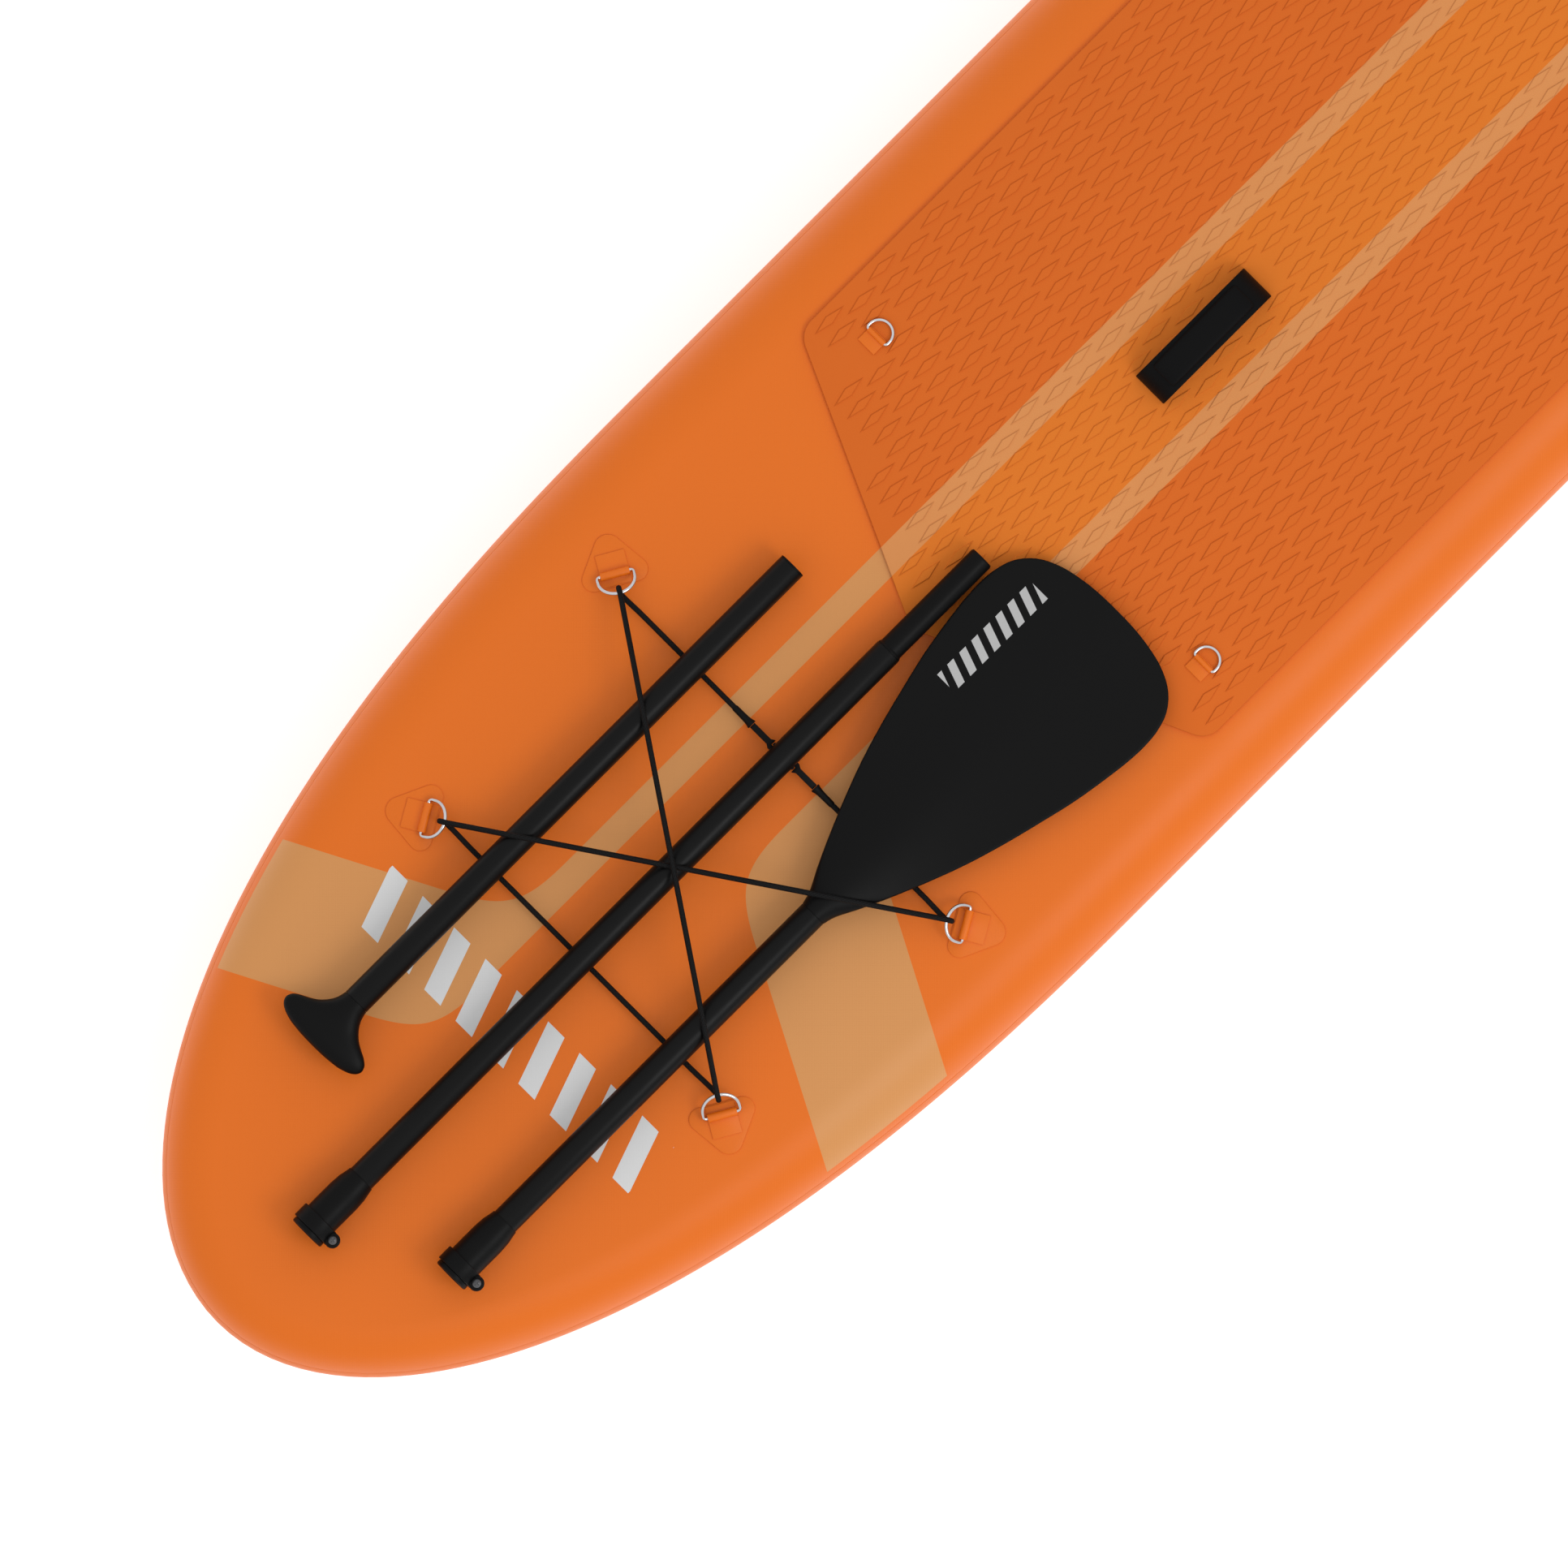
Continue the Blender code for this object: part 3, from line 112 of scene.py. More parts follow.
HANDLE_S, HANDLE_LENGTH, HANDLE_WIDTH, HANDLE_HEIGHT = 1.4775, 0.161, 0.042, 0.036
HANDLE_STRAP, GRIP_LENGTH, GRIP_WIDTH, GRIP_THICKNESS = 0.0026, 0.120, 0.032, 0.005
GRIP_LIFT, GRIP_RIM, SEWN_ACROSS, SEWN_ALONG = 0.001, 0.0012, 0.0135, 0.0560
VALVE_S, VALVE_RADIUS, LEASH_S, LEASH_PATCH = 2.80, 0.024, 2.915, 0.034
FIN_BOX_S, SIDE_FIN_S, SIDE_FIN_X = 2.66, 2.60, 0.200
FIN_ROOT, FIN_RAKE, FIN_TOP, FIN_SCREW_Y = 0.138, 0.085, -0.0277, 0.0770
SIDE_FIN_ROOT, SIDE_FIN_RAKE, SIDE_FIN_TOE = 0.120, 0.075, radians(2)

DECK_Z = FIN_DEPTH + THICKNESS
SLOPE_ANGLE = atan(SHAFT_SLOPE)
STRAP_EDGE = 0.0003
WRAP = RING_WIRE + CORD_RADIUS + 0.0005
CROWN = SHAFT_RADIUS + CORD_RADIUS + 0.0006
CORD_STEP = 2 * CORD_RADIUS + 0.0006
PLUG_RADIUS = SHAFT_RADIUS - SHAFT_WALL - GAP
JOINER_HALF = 0.047


def linear(red, green, blue):
    """A colour in display steps from 0 to 255, as linear values."""
    parts = [step / 255 for step in (red, green, blue)]
    return tuple(p / 12.92 if p <= 0.04045 else ((p + 0.055) / 1.055) ** 2.4 for p in parts)


# ---- Settings -----------------------------------------------------------------------------------


def colour(name, description, default):
    """A colour setting, in linear values."""
    return FloatVectorProperty(name=name, description=description, subtype="COLOR", size=3,
                               min=0.0, max=1.0, default=default)


def distance(name, description, default):
    """A size setting, in metres."""
    return FloatProperty(name=name, description=description, unit="LENGTH", subtype="DISTANCE",
                         precision=4, min=0.0, default=default)


class HullSettings(bpy.types.PropertyGroup):
    fabric: colour("Fabric", "Coated fabric of deck, rails and bottom", linear(231, 111, 8))
    band: colour("Band", "Printed bands and stripes", linear(214, 147, 84))
    mark: colour("Mark", "Row of printed bars across the nose", linear(220, 220, 220))
    tape: distance("Tape thickness", "How far the seam tape stands off the rail", 0.0006)


class PadSettings(bpy.types.PropertyGroup):
    sides: colour("Sides", "Foam outside the stripes", linear(219, 107, 38))
    middle: colour("Middle", "Foam between the stripes", linear(225, 122, 42))
    stripe: colour("Stripe", "Foam of the two stripes", linear(220, 146, 87))
    diamond_length: distance("Diamond length", "Along the board", 0.0450)
    diamond_width: distance("Diamond width", "Across the board", 0.0110)
    diamond_height: distance("Diamond height", "Above the foam", 0.0014)
    pitch: distance("Pitch", "From one diamond to the next across the board", 0.0195)
    rows: distance("Row spacing", "From one row of diamonds to the next", 0.0395)


class WebbingSettings(bpy.types.PropertyGroup):
    orange: colour("Orange webbing", "Anchor straps", linear(233, 112, 10))
    black: colour("Black webbing", "Carry handle", (0.0036, 0.0036, 0.0038))
    stitch: distance("Stitch length", "One sewn stitch", 0.0030)
    stitch_pitch: distance("Stitch pitch", "From one stitch to the next", 0.0040)
    thread: distance("Thread", "Thickness of the sewing thread", 0.0008)


class PaddleSettings(bpy.types.PropertyGroup):
    plastic: colour("Moulded parts", "Grip, sockets, clamps and blade", (0.0022, 0.0022, 0.0023))
    tube: colour("Tubes", "Painted shafts", (0.0024, 0.0024, 0.0025))
    steps: IntProperty(name="Facets", description="Steps round a turned part", default=72,
                       min=24, max=128)


class PaddleboardSettings(bpy.types.PropertyGroup):
    hull: PointerProperty(type=HullSettings)
    pad: PointerProperty(type=PadSettings)
    webbing: PointerProperty(type=WebbingSettings)
    paddle: PointerProperty(type=PaddleSettings)


def settings():
    return bpy.context.scene.paddleboard


# ---- Materials ----------------------------------------------------------------------------------


def feed(tree, socket, value):
    """Sets a socket's value, or links it to another socket."""
    if isinstance(value, bpy.types.NodeSocket):
        tree.links.new(value, socket)
    else:
        socket.default_value = value


def math_node(tree, operation, *values):
    node = tree.nodes.new("ShaderNodeMath")
    node.operation = operation
    for socket, value in zip(node.inputs, values):
        feed(tree, socket, value)
    return node.outputs[0]


class Finish:
    """A node material in the making: one Principled shader and short calls that add nodes."""

    def __init__(self, name, roughness, metallic=0.0, specular=0.5):
        self.material = bpy.data.materials.new(name)
        self.material.use_nodes = True
        self.tree = self.material.node_tree
        self.shader = self.tree.nodes["Principled BSDF"]
        self.shader.inputs["Roughness"].default_value = roughness
        self.shader.inputs["Metallic"].default_value = metallic
        self.shader.inputs["Specular IOR Level"].default_value = specular
        self.coordinates = self.tree.nodes.new("ShaderNodeTexCoord")

    def feed(self, socket, value):
        feed(self.tree, socket, value)

    def math(self, operation, *values):
        return math_node(self.tree, operation, *values)

    def split(self, vector):
        """The x, y and z of a vector."""
        node = self.tree.nodes.new("ShaderNodeSeparateXYZ")
        self.feed(node.inputs[0], vector)
        return node.outputs[0], node.outputs[1], node.outputs[2]

    def noise(self, scale, detail=2.0):
        """Noise with about this many waves to a metre."""
        node = self.tree.nodes.new("ShaderNodeTexNoise")
        self.feed(node.inputs["Vector"], self.coordinates.outputs["Object"])
        node.inputs["Scale"].default_value = scale
        node.inputs["Detail"].default_value = detail
        return node.outputs[0]

    def ramp(self, value, low, high, start=0.0, end=1.0):
        """A value between start and end, moved to between low and high."""
        node = self.tree.nodes.new("ShaderNodeMapRange")
        for name, given in (("Value", value), ("From Min", start), ("From Max", end),
                            ("To Min", low), ("To Max", high)):
            self.feed(node.inputs[name], given)
        return node.outputs[0]

    def mix(self, factor, one, two):
        """The first colour where factor is 0 and the second where it is 1."""
        node = self.tree.nodes.new("ShaderNodeMix")
        node.data_type = "RGBA"
        self.feed(node.inputs[0], factor)
        for socket, value in ((node.inputs[6], one), (node.inputs[7], two)):
            self.feed(socket, value if isinstance(value, bpy.types.NodeSocket) else (*value, 1))
        return node.outputs[2]

    def shaded(self, base, factor):
        """A colour made darker or lighter by a number near 1."""
        node = self.tree.nodes.new("ShaderNodeVectorMath")
        node.operation = "SCALE"
        self.feed(node.inputs[0], base)
        self.feed(node.inputs["Scale"], factor)
        return node.outputs[0]

    def paint(self, value):
        self.feed(self.shader.inputs["Base Color"], value)

    def rough(self, value):
        self.feed(self.shader.inputs["Roughness"], value)

    def bump(self, height, depth, strength=1.0):
        """Fine relief, depth metres deep."""
        node = self.tree.nodes.new("ShaderNodeBump")
        node.inputs["Strength"].default_value = strength
        node.inputs["Distance"].default_value = depth
        self.feed(node.inputs["Height"], height)
        self.feed(self.shader.inputs["Normal"], node.outputs[0])


def once(make):
    """Makes a material the first time it is asked for, and hands out the same one later."""
    def give():
        name = make.__name__ + "_finish"
        return bpy.data.materials.get(name) or make(name)
    return give


BAND_SLOPE = 0.52              # how much the printed bands rise towards the rails
STRIPE_INNER, STRIPE_OUTER = 0.0537, 0.0834
BAND_STARTS = ((-1, 0.4033, 0.5733), (1, 0.7482, 0.9193))
BAND_ROUNDING = 0.075
PRINT_EDGE = radians(31)       # the print stops at this height on the round rail
BAR_SHARE = 0.52               # how much of its pitch a printed bar takes up
HULL_BARS = {"half_width": 0.211, "low": 0.404, "high": 0.473, "pitch": 0.047, "slant": 0.35}
BLADE_BARS = {"half_width": 0.070, "low": 0.054, "high": 0.080, "pitch": 0.018, "slant": 0.35}
BLADE_BARS_S, BLADE_BARS_Z = 1.094, 0.2895
WEAVE_PITCH, WEAVE_DEPTH = 0.0011, 0.00003


def printed_bands(finish, x, s):
    """1 where a tan band or stripe is printed: on each side a slanted band turns into a stripe."""
    found = None
    tilt = hypot(1, BAND_SLOPE)
    for side, upper, lower in BAND_STARTS:
        out = finish.math("MULTIPLY", x, side)
        slanted = finish.math("MULTIPLY_ADD", out, BAND_SLOPE, s)
        under = finish.math("DIVIDE", finish.math("SUBTRACT", slanted, upper), tilt)
        above = finish.math("DIVIDE", finish.math("SUBTRACT", lower, slanted), tilt)
        outside = finish.math("SUBTRACT", out, STRIPE_INNER)
        inside = finish.math("SUBTRACT", STRIPE_OUTER, out)
        convex = finish.math("SMOOTH_MIN", under, outside, BAND_ROUNDING)
        hollow = finish.math("SMOOTH_MAX", above, inside, BAND_ROUNDING)
        here = finish.math("GREATER_THAN", finish.math("MINIMUM", convex, hollow), 0.0)
        found = here if found is None else finish.math("MAXIMUM", found, here)
    return found


def fabric_weave(finish, across, length):
    """The height of a plain weave."""
    one = finish.math("SINE", finish.math("MULTIPLY", across, pi / WEAVE_PITCH))
    two = finish.math("SINE", finish.math("MULTIPLY", length, pi / WEAVE_PITCH))
    return finish.math("MULTIPLY", one, two)


def slanted_bars(finish, across, up, half_width, low, high, pitch, slant):
    """1 on a row of plain slanted bars between two heights."""
    leaned = finish.math("MULTIPLY_ADD", up, slant, across)
    part = finish.math("FRACT", finish.math("DIVIDE", leaned, pitch))
    bar = finish.math("LESS_THAN", part, BAR_SHARE)
    wide = finish.math("LESS_THAN", finish.math("ABSOLUTE", across), half_width)
    over = finish.math("GREATER_THAN", up, low)
    under = finish.math("LESS_THAN", up, high)
    return finish.math("MULTIPLY", finish.math("MULTIPLY", bar, wide),
                       finish.math("MULTIPLY", over, under))


@once
def coated_fabric_printed(name):
    hull = settings().hull
    finish = Finish(name, 0.42, specular=0.34)
    x, y, _ = finish.split(finish.coordinates.outputs["Object"])
    s = finish.math("ADD", y, LENGTH / 2)
    _, _, up = finish.split(finish.coordinates.outputs["Normal"])
    above = finish.math("GREATER_THAN", up, sin(PRINT_EDGE))
    bands = finish.math("MULTIPLY", printed_bands(finish, x, s), above)
    mark = finish.math("MULTIPLY", slanted_bars(finish, x, s, **HULL_BARS), above)
    cloud = finish.ramp(finish.noise(3.0, 3.0), 0.97, 1.03)
    speck = finish.ramp(finish.noise(900.0, 1.0), 0.985, 1.015)
    base = finish.mix(bands, tuple(hull.fabric), tuple(hull.band))
    base = finish.mix(mark, base, tuple(hull.mark))
    finish.paint(finish.shaded(base, finish.math("MULTIPLY", cloud, speck)))
    finish.rough(finish.ramp(finish.noise(14.0, 4.0), 0.38, 0.48))
    weave = fabric_weave(finish, x, y)
    finish.bump(finish.math("MULTIPLY_ADD", finish.noise(1400.0, 2.0), 0.6, weave), WEAVE_DEPTH)
    return finish.material


@once
def coated_fabric_plain(name):
    finish = Finish(name, 0.45, specular=0.34)
    x, y, _ = finish.split(finish.coordinates.outputs["Object"])
    speck = finish.ramp(finish.noise(700.0, 2.0), 0.95, 1.03)
    finish.paint(finish.shaded(tuple(settings().hull.fabric), speck))
    finish.rough(finish.ramp(finish.noise(30.0, 3.0), 0.40, 0.52))
    finish.bump(fabric_weave(finish, x, y), WEAVE_DEPTH)
    return finish.material


@once
def eva_foam(name):
    pad = settings().pad
    finish = Finish(name, 0.78, specular=0.12)
    x, _, _ = finish.split(finish.coordinates.outputs["Object"])
    out = finish.math("ABSOLUTE", x)
    striped = finish.math("GREATER_THAN", out, STRIPE_INNER)
    side = finish.math("GREATER_THAN", out, STRIPE_OUTER)
    base = finish.mix(striped, tuple(pad.middle), tuple(pad.stripe))
    base = finish.mix(side, base, tuple(pad.sides))
    grain = finish.noise(1500.0, 3.0)
    cloud = finish.ramp(finish.noise(6.0, 4.0), 0.96, 1.04)
    # Painted shade: the sloping sides of the raised diamonds, where the normal tilts away from
    # straight up, are painted up to 12% darker than the flat foam.
    _, _, flat = finish.split(finish.coordinates.outputs["Normal"])
    painted_slope_shade = finish.ramp(flat, 0.88, 1.0, 0.78, 0.97)
    grain_shade = finish.ramp(grain, 0.94, 1.06)
    finish.paint(finish.shaded(base, finish.math(
        "MULTIPLY", painted_slope_shade, finish.math("MULTIPLY", cloud, grain_shade))))
    finish.rough(finish.ramp(finish.noise(60.0, 3.0), 0.72, 0.86))
    finish.bump(grain, 0.00012, 0.6)
    return finish.material


def webbing(name, base, pitch, roughness, specular, depth):
    """Woven strap: ribs run along it, and the strap's own map gives across and along."""
    finish = Finish(name, roughness, specular=specular)
    across, length, _ = finish.split(finish.coordinates.outputs["UV"])
    rib = finish.math("SINE", finish.math("MULTIPLY", across, pi / pitch))
    pick = finish.math("SINE", finish.math("MULTIPLY", length, 2 * pi / pitch))
    height = finish.math("MULTIPLY_ADD", finish.math("ABSOLUTE", rib), 0.7,
                         finish.math("MULTIPLY", finish.math("MULTIPLY", rib, pick), 0.5))
    fuzz = finish.noise(1200.0, 3.0)
    # Painted shade and highlight: the colour follows the weave's height, darker in its hollows and
    # a little lighter on the ribs.
    finish.paint(finish.shaded(tuple(base), finish.math(
        "MULTIPLY", finish.ramp(height, 0.90, 1.05, -0.5, 1.2), finish.ramp(fuzz, 0.95, 1.05))))
    finish.rough(finish.ramp(fuzz, roughness - 0.06, roughness + 0.06))
    finish.bump(height, depth, 0.8)
    return finish.material


@once
def orange_webbing(name):
    return webbing(name, settings().webbing.orange, 0.0011, 0.45, 0.34, 0.00004)


@once
def black_webbing(name):
    return webbing(name, settings().webbing.black, 0.0016, 0.55, 0.08, 0.00012)


@once
def sewing_thread_black(name):
    finish = Finish(name, 0.55, specular=0.35)
    finish.paint(finish.shaded((0.030, 0.030, 0.032), finish.ramp(finish.noise(2500.0), 0.7, 1.3)))
    finish.bump(finish.noise(4000.0), 0.00005)
    return finish.material


@once
def polished_steel(name):
    finish = Finish(name, 0.14, metallic=1.0)
    cloud = finish.noise(120.0, 4.0)
    finish.paint(finish.shaded((0.70, 0.70, 0.72), finish.ramp(cloud, 0.92, 1.04)))
    finish.rough(finish.ramp(finish.noise(400.0, 5.0), 0.10, 0.22))
    finish.bump(finish.noise(900.0, 3.0), 0.00002)
    return finish.material


@once
def zinc_screw(name):
    finish = Finish(name, 0.45, metallic=1.0)
    cloud = finish.ramp(finish.noise(700.0, 3.0), 0.8, 1.1)
    finish.paint(finish.shaded((0.13, 0.13, 0.135), cloud))
    finish.rough(finish.ramp(finish.noise(500.0, 4.0), 0.42, 0.56))
    finish.bump(finish.noise(1500.0, 3.0), 0.00003)
    return finish.material


@once
def braided_shock_cord(name):
    finish = Finish(name, 0.55, specular=0.12)
    girth, length, _ = finish.split(finish.coordinates.outputs["UV"])
    strands, lay = 6, 0.0042
    turn = finish.math("MULTIPLY", girth, 2 * pi * strands)
    run = finish.math("MULTIPLY", length, 2 * pi / lay)
    one = finish.math("SINE", finish.math("ADD", turn, run))
    two = finish.math("SINE", finish.math("SUBTRACT", turn, run))
    height = finish.math("MAXIMUM", one, two)
    # Painted shade and highlight: the cord's colour follows the braid's height, much darker between
    # the strands and lighter on their crowns.
    finish.paint(finish.shaded((0.005, 0.005, 0.0053), finish.ramp(height, 0.55, 1.25, -1.0, 1.0)))
    finish.rough(finish.ramp(finish.noise(1500.0, 2.0), 0.48, 0.64))
    finish.bump(height, 0.00022, 0.9)
    return finish.material


@once
def moulded_plastic(name):
    finish = Finish(name, 0.40, specular=0.12)
    grain = finish.noise(2200.0, 3.0)
    finish.paint(finish.shaded(tuple(settings().paddle.plastic), finish.ramp(grain, 0.8, 1.2)))
    finish.rough(finish.ramp(finish.noise(45.0, 4.0), 0.38, 0.50))
    finish.bump(grain, 0.00006, 0.6)
    return finish.material


@once
def blade_plastic(name):
    """Moulded plastic with a small row of plain light bars near one edge."""
    finish = Finish(name, 0.36, specular=0.12)
    x, y, z = finish.split(finish.coordinates.outputs["Object"])
    s = finish.math("ADD", y, LENGTH / 2)
    mark = slanted_bars(finish, finish.math("SUBTRACT", s, BLADE_BARS_S), x, **BLADE_BARS)
    mark = finish.math("MULTIPLY", mark, finish.math("GREATER_THAN", z, BLADE_BARS_Z))
    grain = finish.noise(2200.0, 3.0)
    base = finish.mix(mark, tuple(settings().paddle.plastic), linear(184, 184, 184))
    finish.paint(finish.shaded(base, finish.ramp(grain, 0.85, 1.15)))
    finish.rough(finish.ramp(finish.noise(30.0, 4.0), 0.38, 0.50))
    finish.bump(grain, 0.00007, 0.7)
    return finish.material


@once
def painted_tube(name):
    finish = Finish(name, 0.36, specular=0.15)
    peel = finish.noise(600.0, 2.0)
    finish.paint(finish.shaded(tuple(settings().paddle.tube), finish.ramp(peel, 0.9, 1.1)))
    finish.rough(finish.ramp(finish.noise(80.0, 5.0), 0.32, 0.44))
    finish.bump(peel, 0.00002, 0.5)
    return finish.material


@once
def fin_nylon(name):
    finish = Finish(name, 0.38, specular=0.4)
    swirl = finish.noise(25.0, 5.0)
    finish.paint(finish.shaded((0.012, 0.012, 0.0125), finish.ramp(swirl, 0.8, 1.2)))
    finish.rough(finish.ramp(swirl, 0.32, 0.46))
    finish.bump(finish.noise(1800.0, 2.0), 0.00004)
    return finish.material


@once
def thread_wall(name):
    finish = Finish(name, 0.9, specular=0.1)
    x, y, _ = finish.split(finish.coordinates.outputs["Object"])
    strand = finish.math("SINE", finish.math("MULTIPLY", finish.math("ADD", x, y), 2 * pi / 0.004))
    # Painted shade: the colour follows the strands' height, darker between the strands and a little
    # lighter on them.
    finish.paint(finish.shaded((0.72, 0.70, 0.64), finish.ramp(strand, 0.8, 1.05, -1.0, 1.0)))
    finish.bump(strand, 0.0002)
    return finish.material


# ---- Modelling helpers --------------------------------------------------------------------------


def settle(made):
    """The mesh that an object's modifiers give, with the object itself removed."""
    bpy.context.view_layer.update()
    depsgraph = bpy.context.evaluated_depsgraph_get()
    mesh = bpy.data.meshes.new_from_object(made.evaluated_get(depsgraph), depsgraph=depsgraph,
                                           preserve_all_data_layers=True)
    bpy.data.objects.remove(made)
    return mesh


def loose(mesh, name="blank"):
    """A mesh on an object of its own, for modifiers to work on."""
    made = bpy.data.objects.new(name, mesh)
    bpy.context.scene.collection.objects.link(made)
    return made


def publish(name, mesh, finish, body, stands_for=()):
    """The finished piece: its material, the body it rides on and the nodes it stands for."""
    mesh.materials.clear()
    mesh.materials.append(finish)
    mesh.polygons.foreach_set("material_index", [0] * len(mesh.polygons))
    made = loose(mesh, name)
    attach(made, body)
    if stands_for:
        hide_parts(*stands_for)
    return made


def as_mesh(bm, matrix=Matrix(), sharp=35):
    """A mesh from bmesh work, moved to its place, with faces outward and soft shading."""
    bmesh.ops.transform(bm, matrix=matrix, verts=bm.verts[:])
    bmesh.ops.recalc_face_normals(bm, faces=bm.faces[:])
    mesh = bpy.data.meshes.new("shape")
    bm.to_mesh(mesh)
    bm.free()
    mesh.shade_smooth()
    mesh.set_sharp_from_angle(angle=radians(sharp))
    return mesh


def bevelled(mesh, width, segments=2, angle=35, sharp=50):
    """A mesh with its edges rounded where they are steeper than an angle."""
    made = loose(mesh)
    edge = made.modifiers.new("edge", "BEVEL")
    edge.width = width
    edge.segments = segments
    edge.limit_method = "ANGLE"
    edge.angle_limit = radians(angle)
    edge.use_clamp_overlap = True
    mesh = settle(made)
    mesh.shade_smooth()
    mesh.set_sharp_from_angle(angle=radians(sharp))
    return mesh


def combined(mesh, *steps, sharp=35):
    """A mesh after Boolean steps, each an operation and the mesh it uses."""
    made = loose(mesh)
    others = []
    for operation, other_mesh in steps:
        other = loose(other_mesh, "tool")
        others.append(other)
        step = made.modifiers.new(operation.lower(), "BOOLEAN")
        step.operation = operation
        step.object = other
        step.solver = "EXACT"
    mesh = settle(made)
    for other in others:
        bpy.data.objects.remove(other)
    mesh.shade_smooth()
    mesh.set_sharp_from_angle(angle=radians(sharp))
    return mesh


def running_lengths(points):
    """How far along a path each of its points is."""
    lengths = [0.0]
    for one, two in zip(points, points[1:]):
        lengths.append(lengths[-1] + dist(one, two))
    return lengths


def even_points(points, steps, last=True):
    """Evenly spaced points along a path, with or without the one at its end."""
    lengths = running_lengths(points)
    picked, at = [], 0
    for k in range(steps + 1 if last else steps):
        target = lengths[-1] * k / steps
        while at < len(lengths) - 2 and lengths[at + 1] < target:
            at += 1
        span = lengths[at + 1] - lengths[at]
        part = (target - lengths[at]) / span if span > 0 else 0.0
        picked.append([a + (b - a) * part for a, b in zip(points[at], points[at + 1])])
    return picked


def map_face(face, uv, spots):
    """Gives each corner of a face its place on the flat map."""
    for loop, spot in zip(face.loops, spots):
        loop[uv].uv = spot


def skin(rings, closed=False, girth=None):
    """A body through rings with the same number of points, mapped round and along."""
    bm = bmesh.new()
    uv = bm.loops.layers.uv.new("strip")
    loops = [[bm.verts.new(point) for point in ring] for ring in rings]
    around = len(rings[0])
    count = len(rings)
    across = girth or [k / around for k in range(around + 1)]
    lengths = running_lengths([ring[0] for ring in [*rings, rings[0]]])
    for i in range(count if closed else count - 1):
        j = (i + 1) % count
        for k in range(around):
            n = (k + 1) % around
            face = bm.faces.new((loops[i][k], loops[i][n], loops[j][n], loops[j][k]))
            map_face(face, uv, ((across[k], lengths[i]), (across[k + 1], lengths[i]),
                                (across[k + 1], lengths[i + 1]), (across[k], lengths[i + 1])))
    if not closed:
        bm.faces.new(loops[0])
        bm.faces.new(loops[-1])
    return bm


def heading_frames(points, closed):
    """A side direction at each point of a path, carried along without twisting."""
    count = len(points)
    ways = []
    for i in range(count):
        after = points[(i + 1) % count] if closed or i < count - 1 else points[i]
        before = points[i - 1] if closed or i else points[i]
        ways.append((after - before).normalized())
    start = Vector((0, 0, 1)) if abs(ways[0].z) < 0.9 else Vector((1, 0, 0))
    side = ways[0].cross(start).normalized()
    sides = [side]
    for one, two in zip(ways, ways[1:]):
        turn = one.rotation_difference(two)
        side = turn @ side
        side = (side - two * side.dot(two)).normalized()
        sides.append(side)
    return ways, sides


def round_tube(points, radius, around=16, closed=False):
    """A round cord or wire along a path. radius is a number or one for each point."""
    ways, sides = heading_frames(points, closed)
    radii = radius if isinstance(radius, list) else [radius] * len(points)
    rings = []
    for point, way, side, r in zip(points, ways, sides, radii):
        up = way.cross(side)
        rings.append([point + side * (r * cos(2 * pi * k / around))
                      + up * (r * sin(2 * pi * k / around)) for k in range(around)])
    return skin(rings, closed)


def smooth_path(points, step, closed=False):
    """Even points on a smooth curve through a list of points."""
    count = len(points)
    fine = []
    for i in range(count if closed else count - 1):
        if closed:
            a, b, c, d = (points[(i + k) % count] for k in (-1, 0, 1, 2))
        else:
            a, b = points[max(0, i - 1)], points[i]
            c, d = points[i + 1], points[min(count - 1, i + 2)]
        ab, bc, cd = (max(1e-6, sqrt((q - p).length)) for p, q in ((a, b), (b, c), (c, d)))
        if a == b:
            a = b - (c - b)
            ab = bc
        if c == d:
            d = c + (c - b)
            cd = bc
        leave = (c - b) + ((b - a) / ab - (c - a) / (ab + bc)) * bc
        arrive = (c - b) + ((d - c) / cd - (d - b) / (bc + cd)) * bc
        for k in range(12):
            t = k / 12
            fine.append(b * (2 * t ** 3 - 3 * t ** 2 + 1) + leave * (t ** 3 - 2 * t ** 2 + t)
                        + c * (3 * t ** 2 - 2 * t ** 3) + arrive * (t ** 3 - t ** 2))
    fine.append(points[0] if closed else points[-1])
    steps = max(4, round(running_lengths(fine)[-1] / step))
    return [Vector(point) for point in even_points(fine, steps, not closed)]


def turned(profile, steps=None, closed=False):
    """A profile of (radius, z) points turned round z."""
    steps = steps or settings().paddle.steps
    bm = bmesh.new()
    rows = []
    for radius, z in profile:
        if radius < 1e-6:
            rows.append([bm.verts.new((0, 0, z))])
        else:
            rows.append([bm.verts.new((radius * cos(2 * pi * k / steps),
                                       radius * sin(2 * pi * k / steps), z))
                         for k in range(steps)])
    pairs = list(zip(rows, rows[1:])) + ([(rows[-1], rows[0])] if closed else [])
    for one, two in pairs:
        for k in range(steps):
            n = (k + 1) % steps
            if len(one) == 1 and len(two) == 1:
                continue
            if len(one) == 1:
                bm.faces.new((one[0], two[n], two[k]))
            elif len(two) == 1:
                bm.faces.new((one[k], one[n], two[0]))
            else:
                bm.faces.new((one[k], one[n], two[n], two[k]))
    return bm


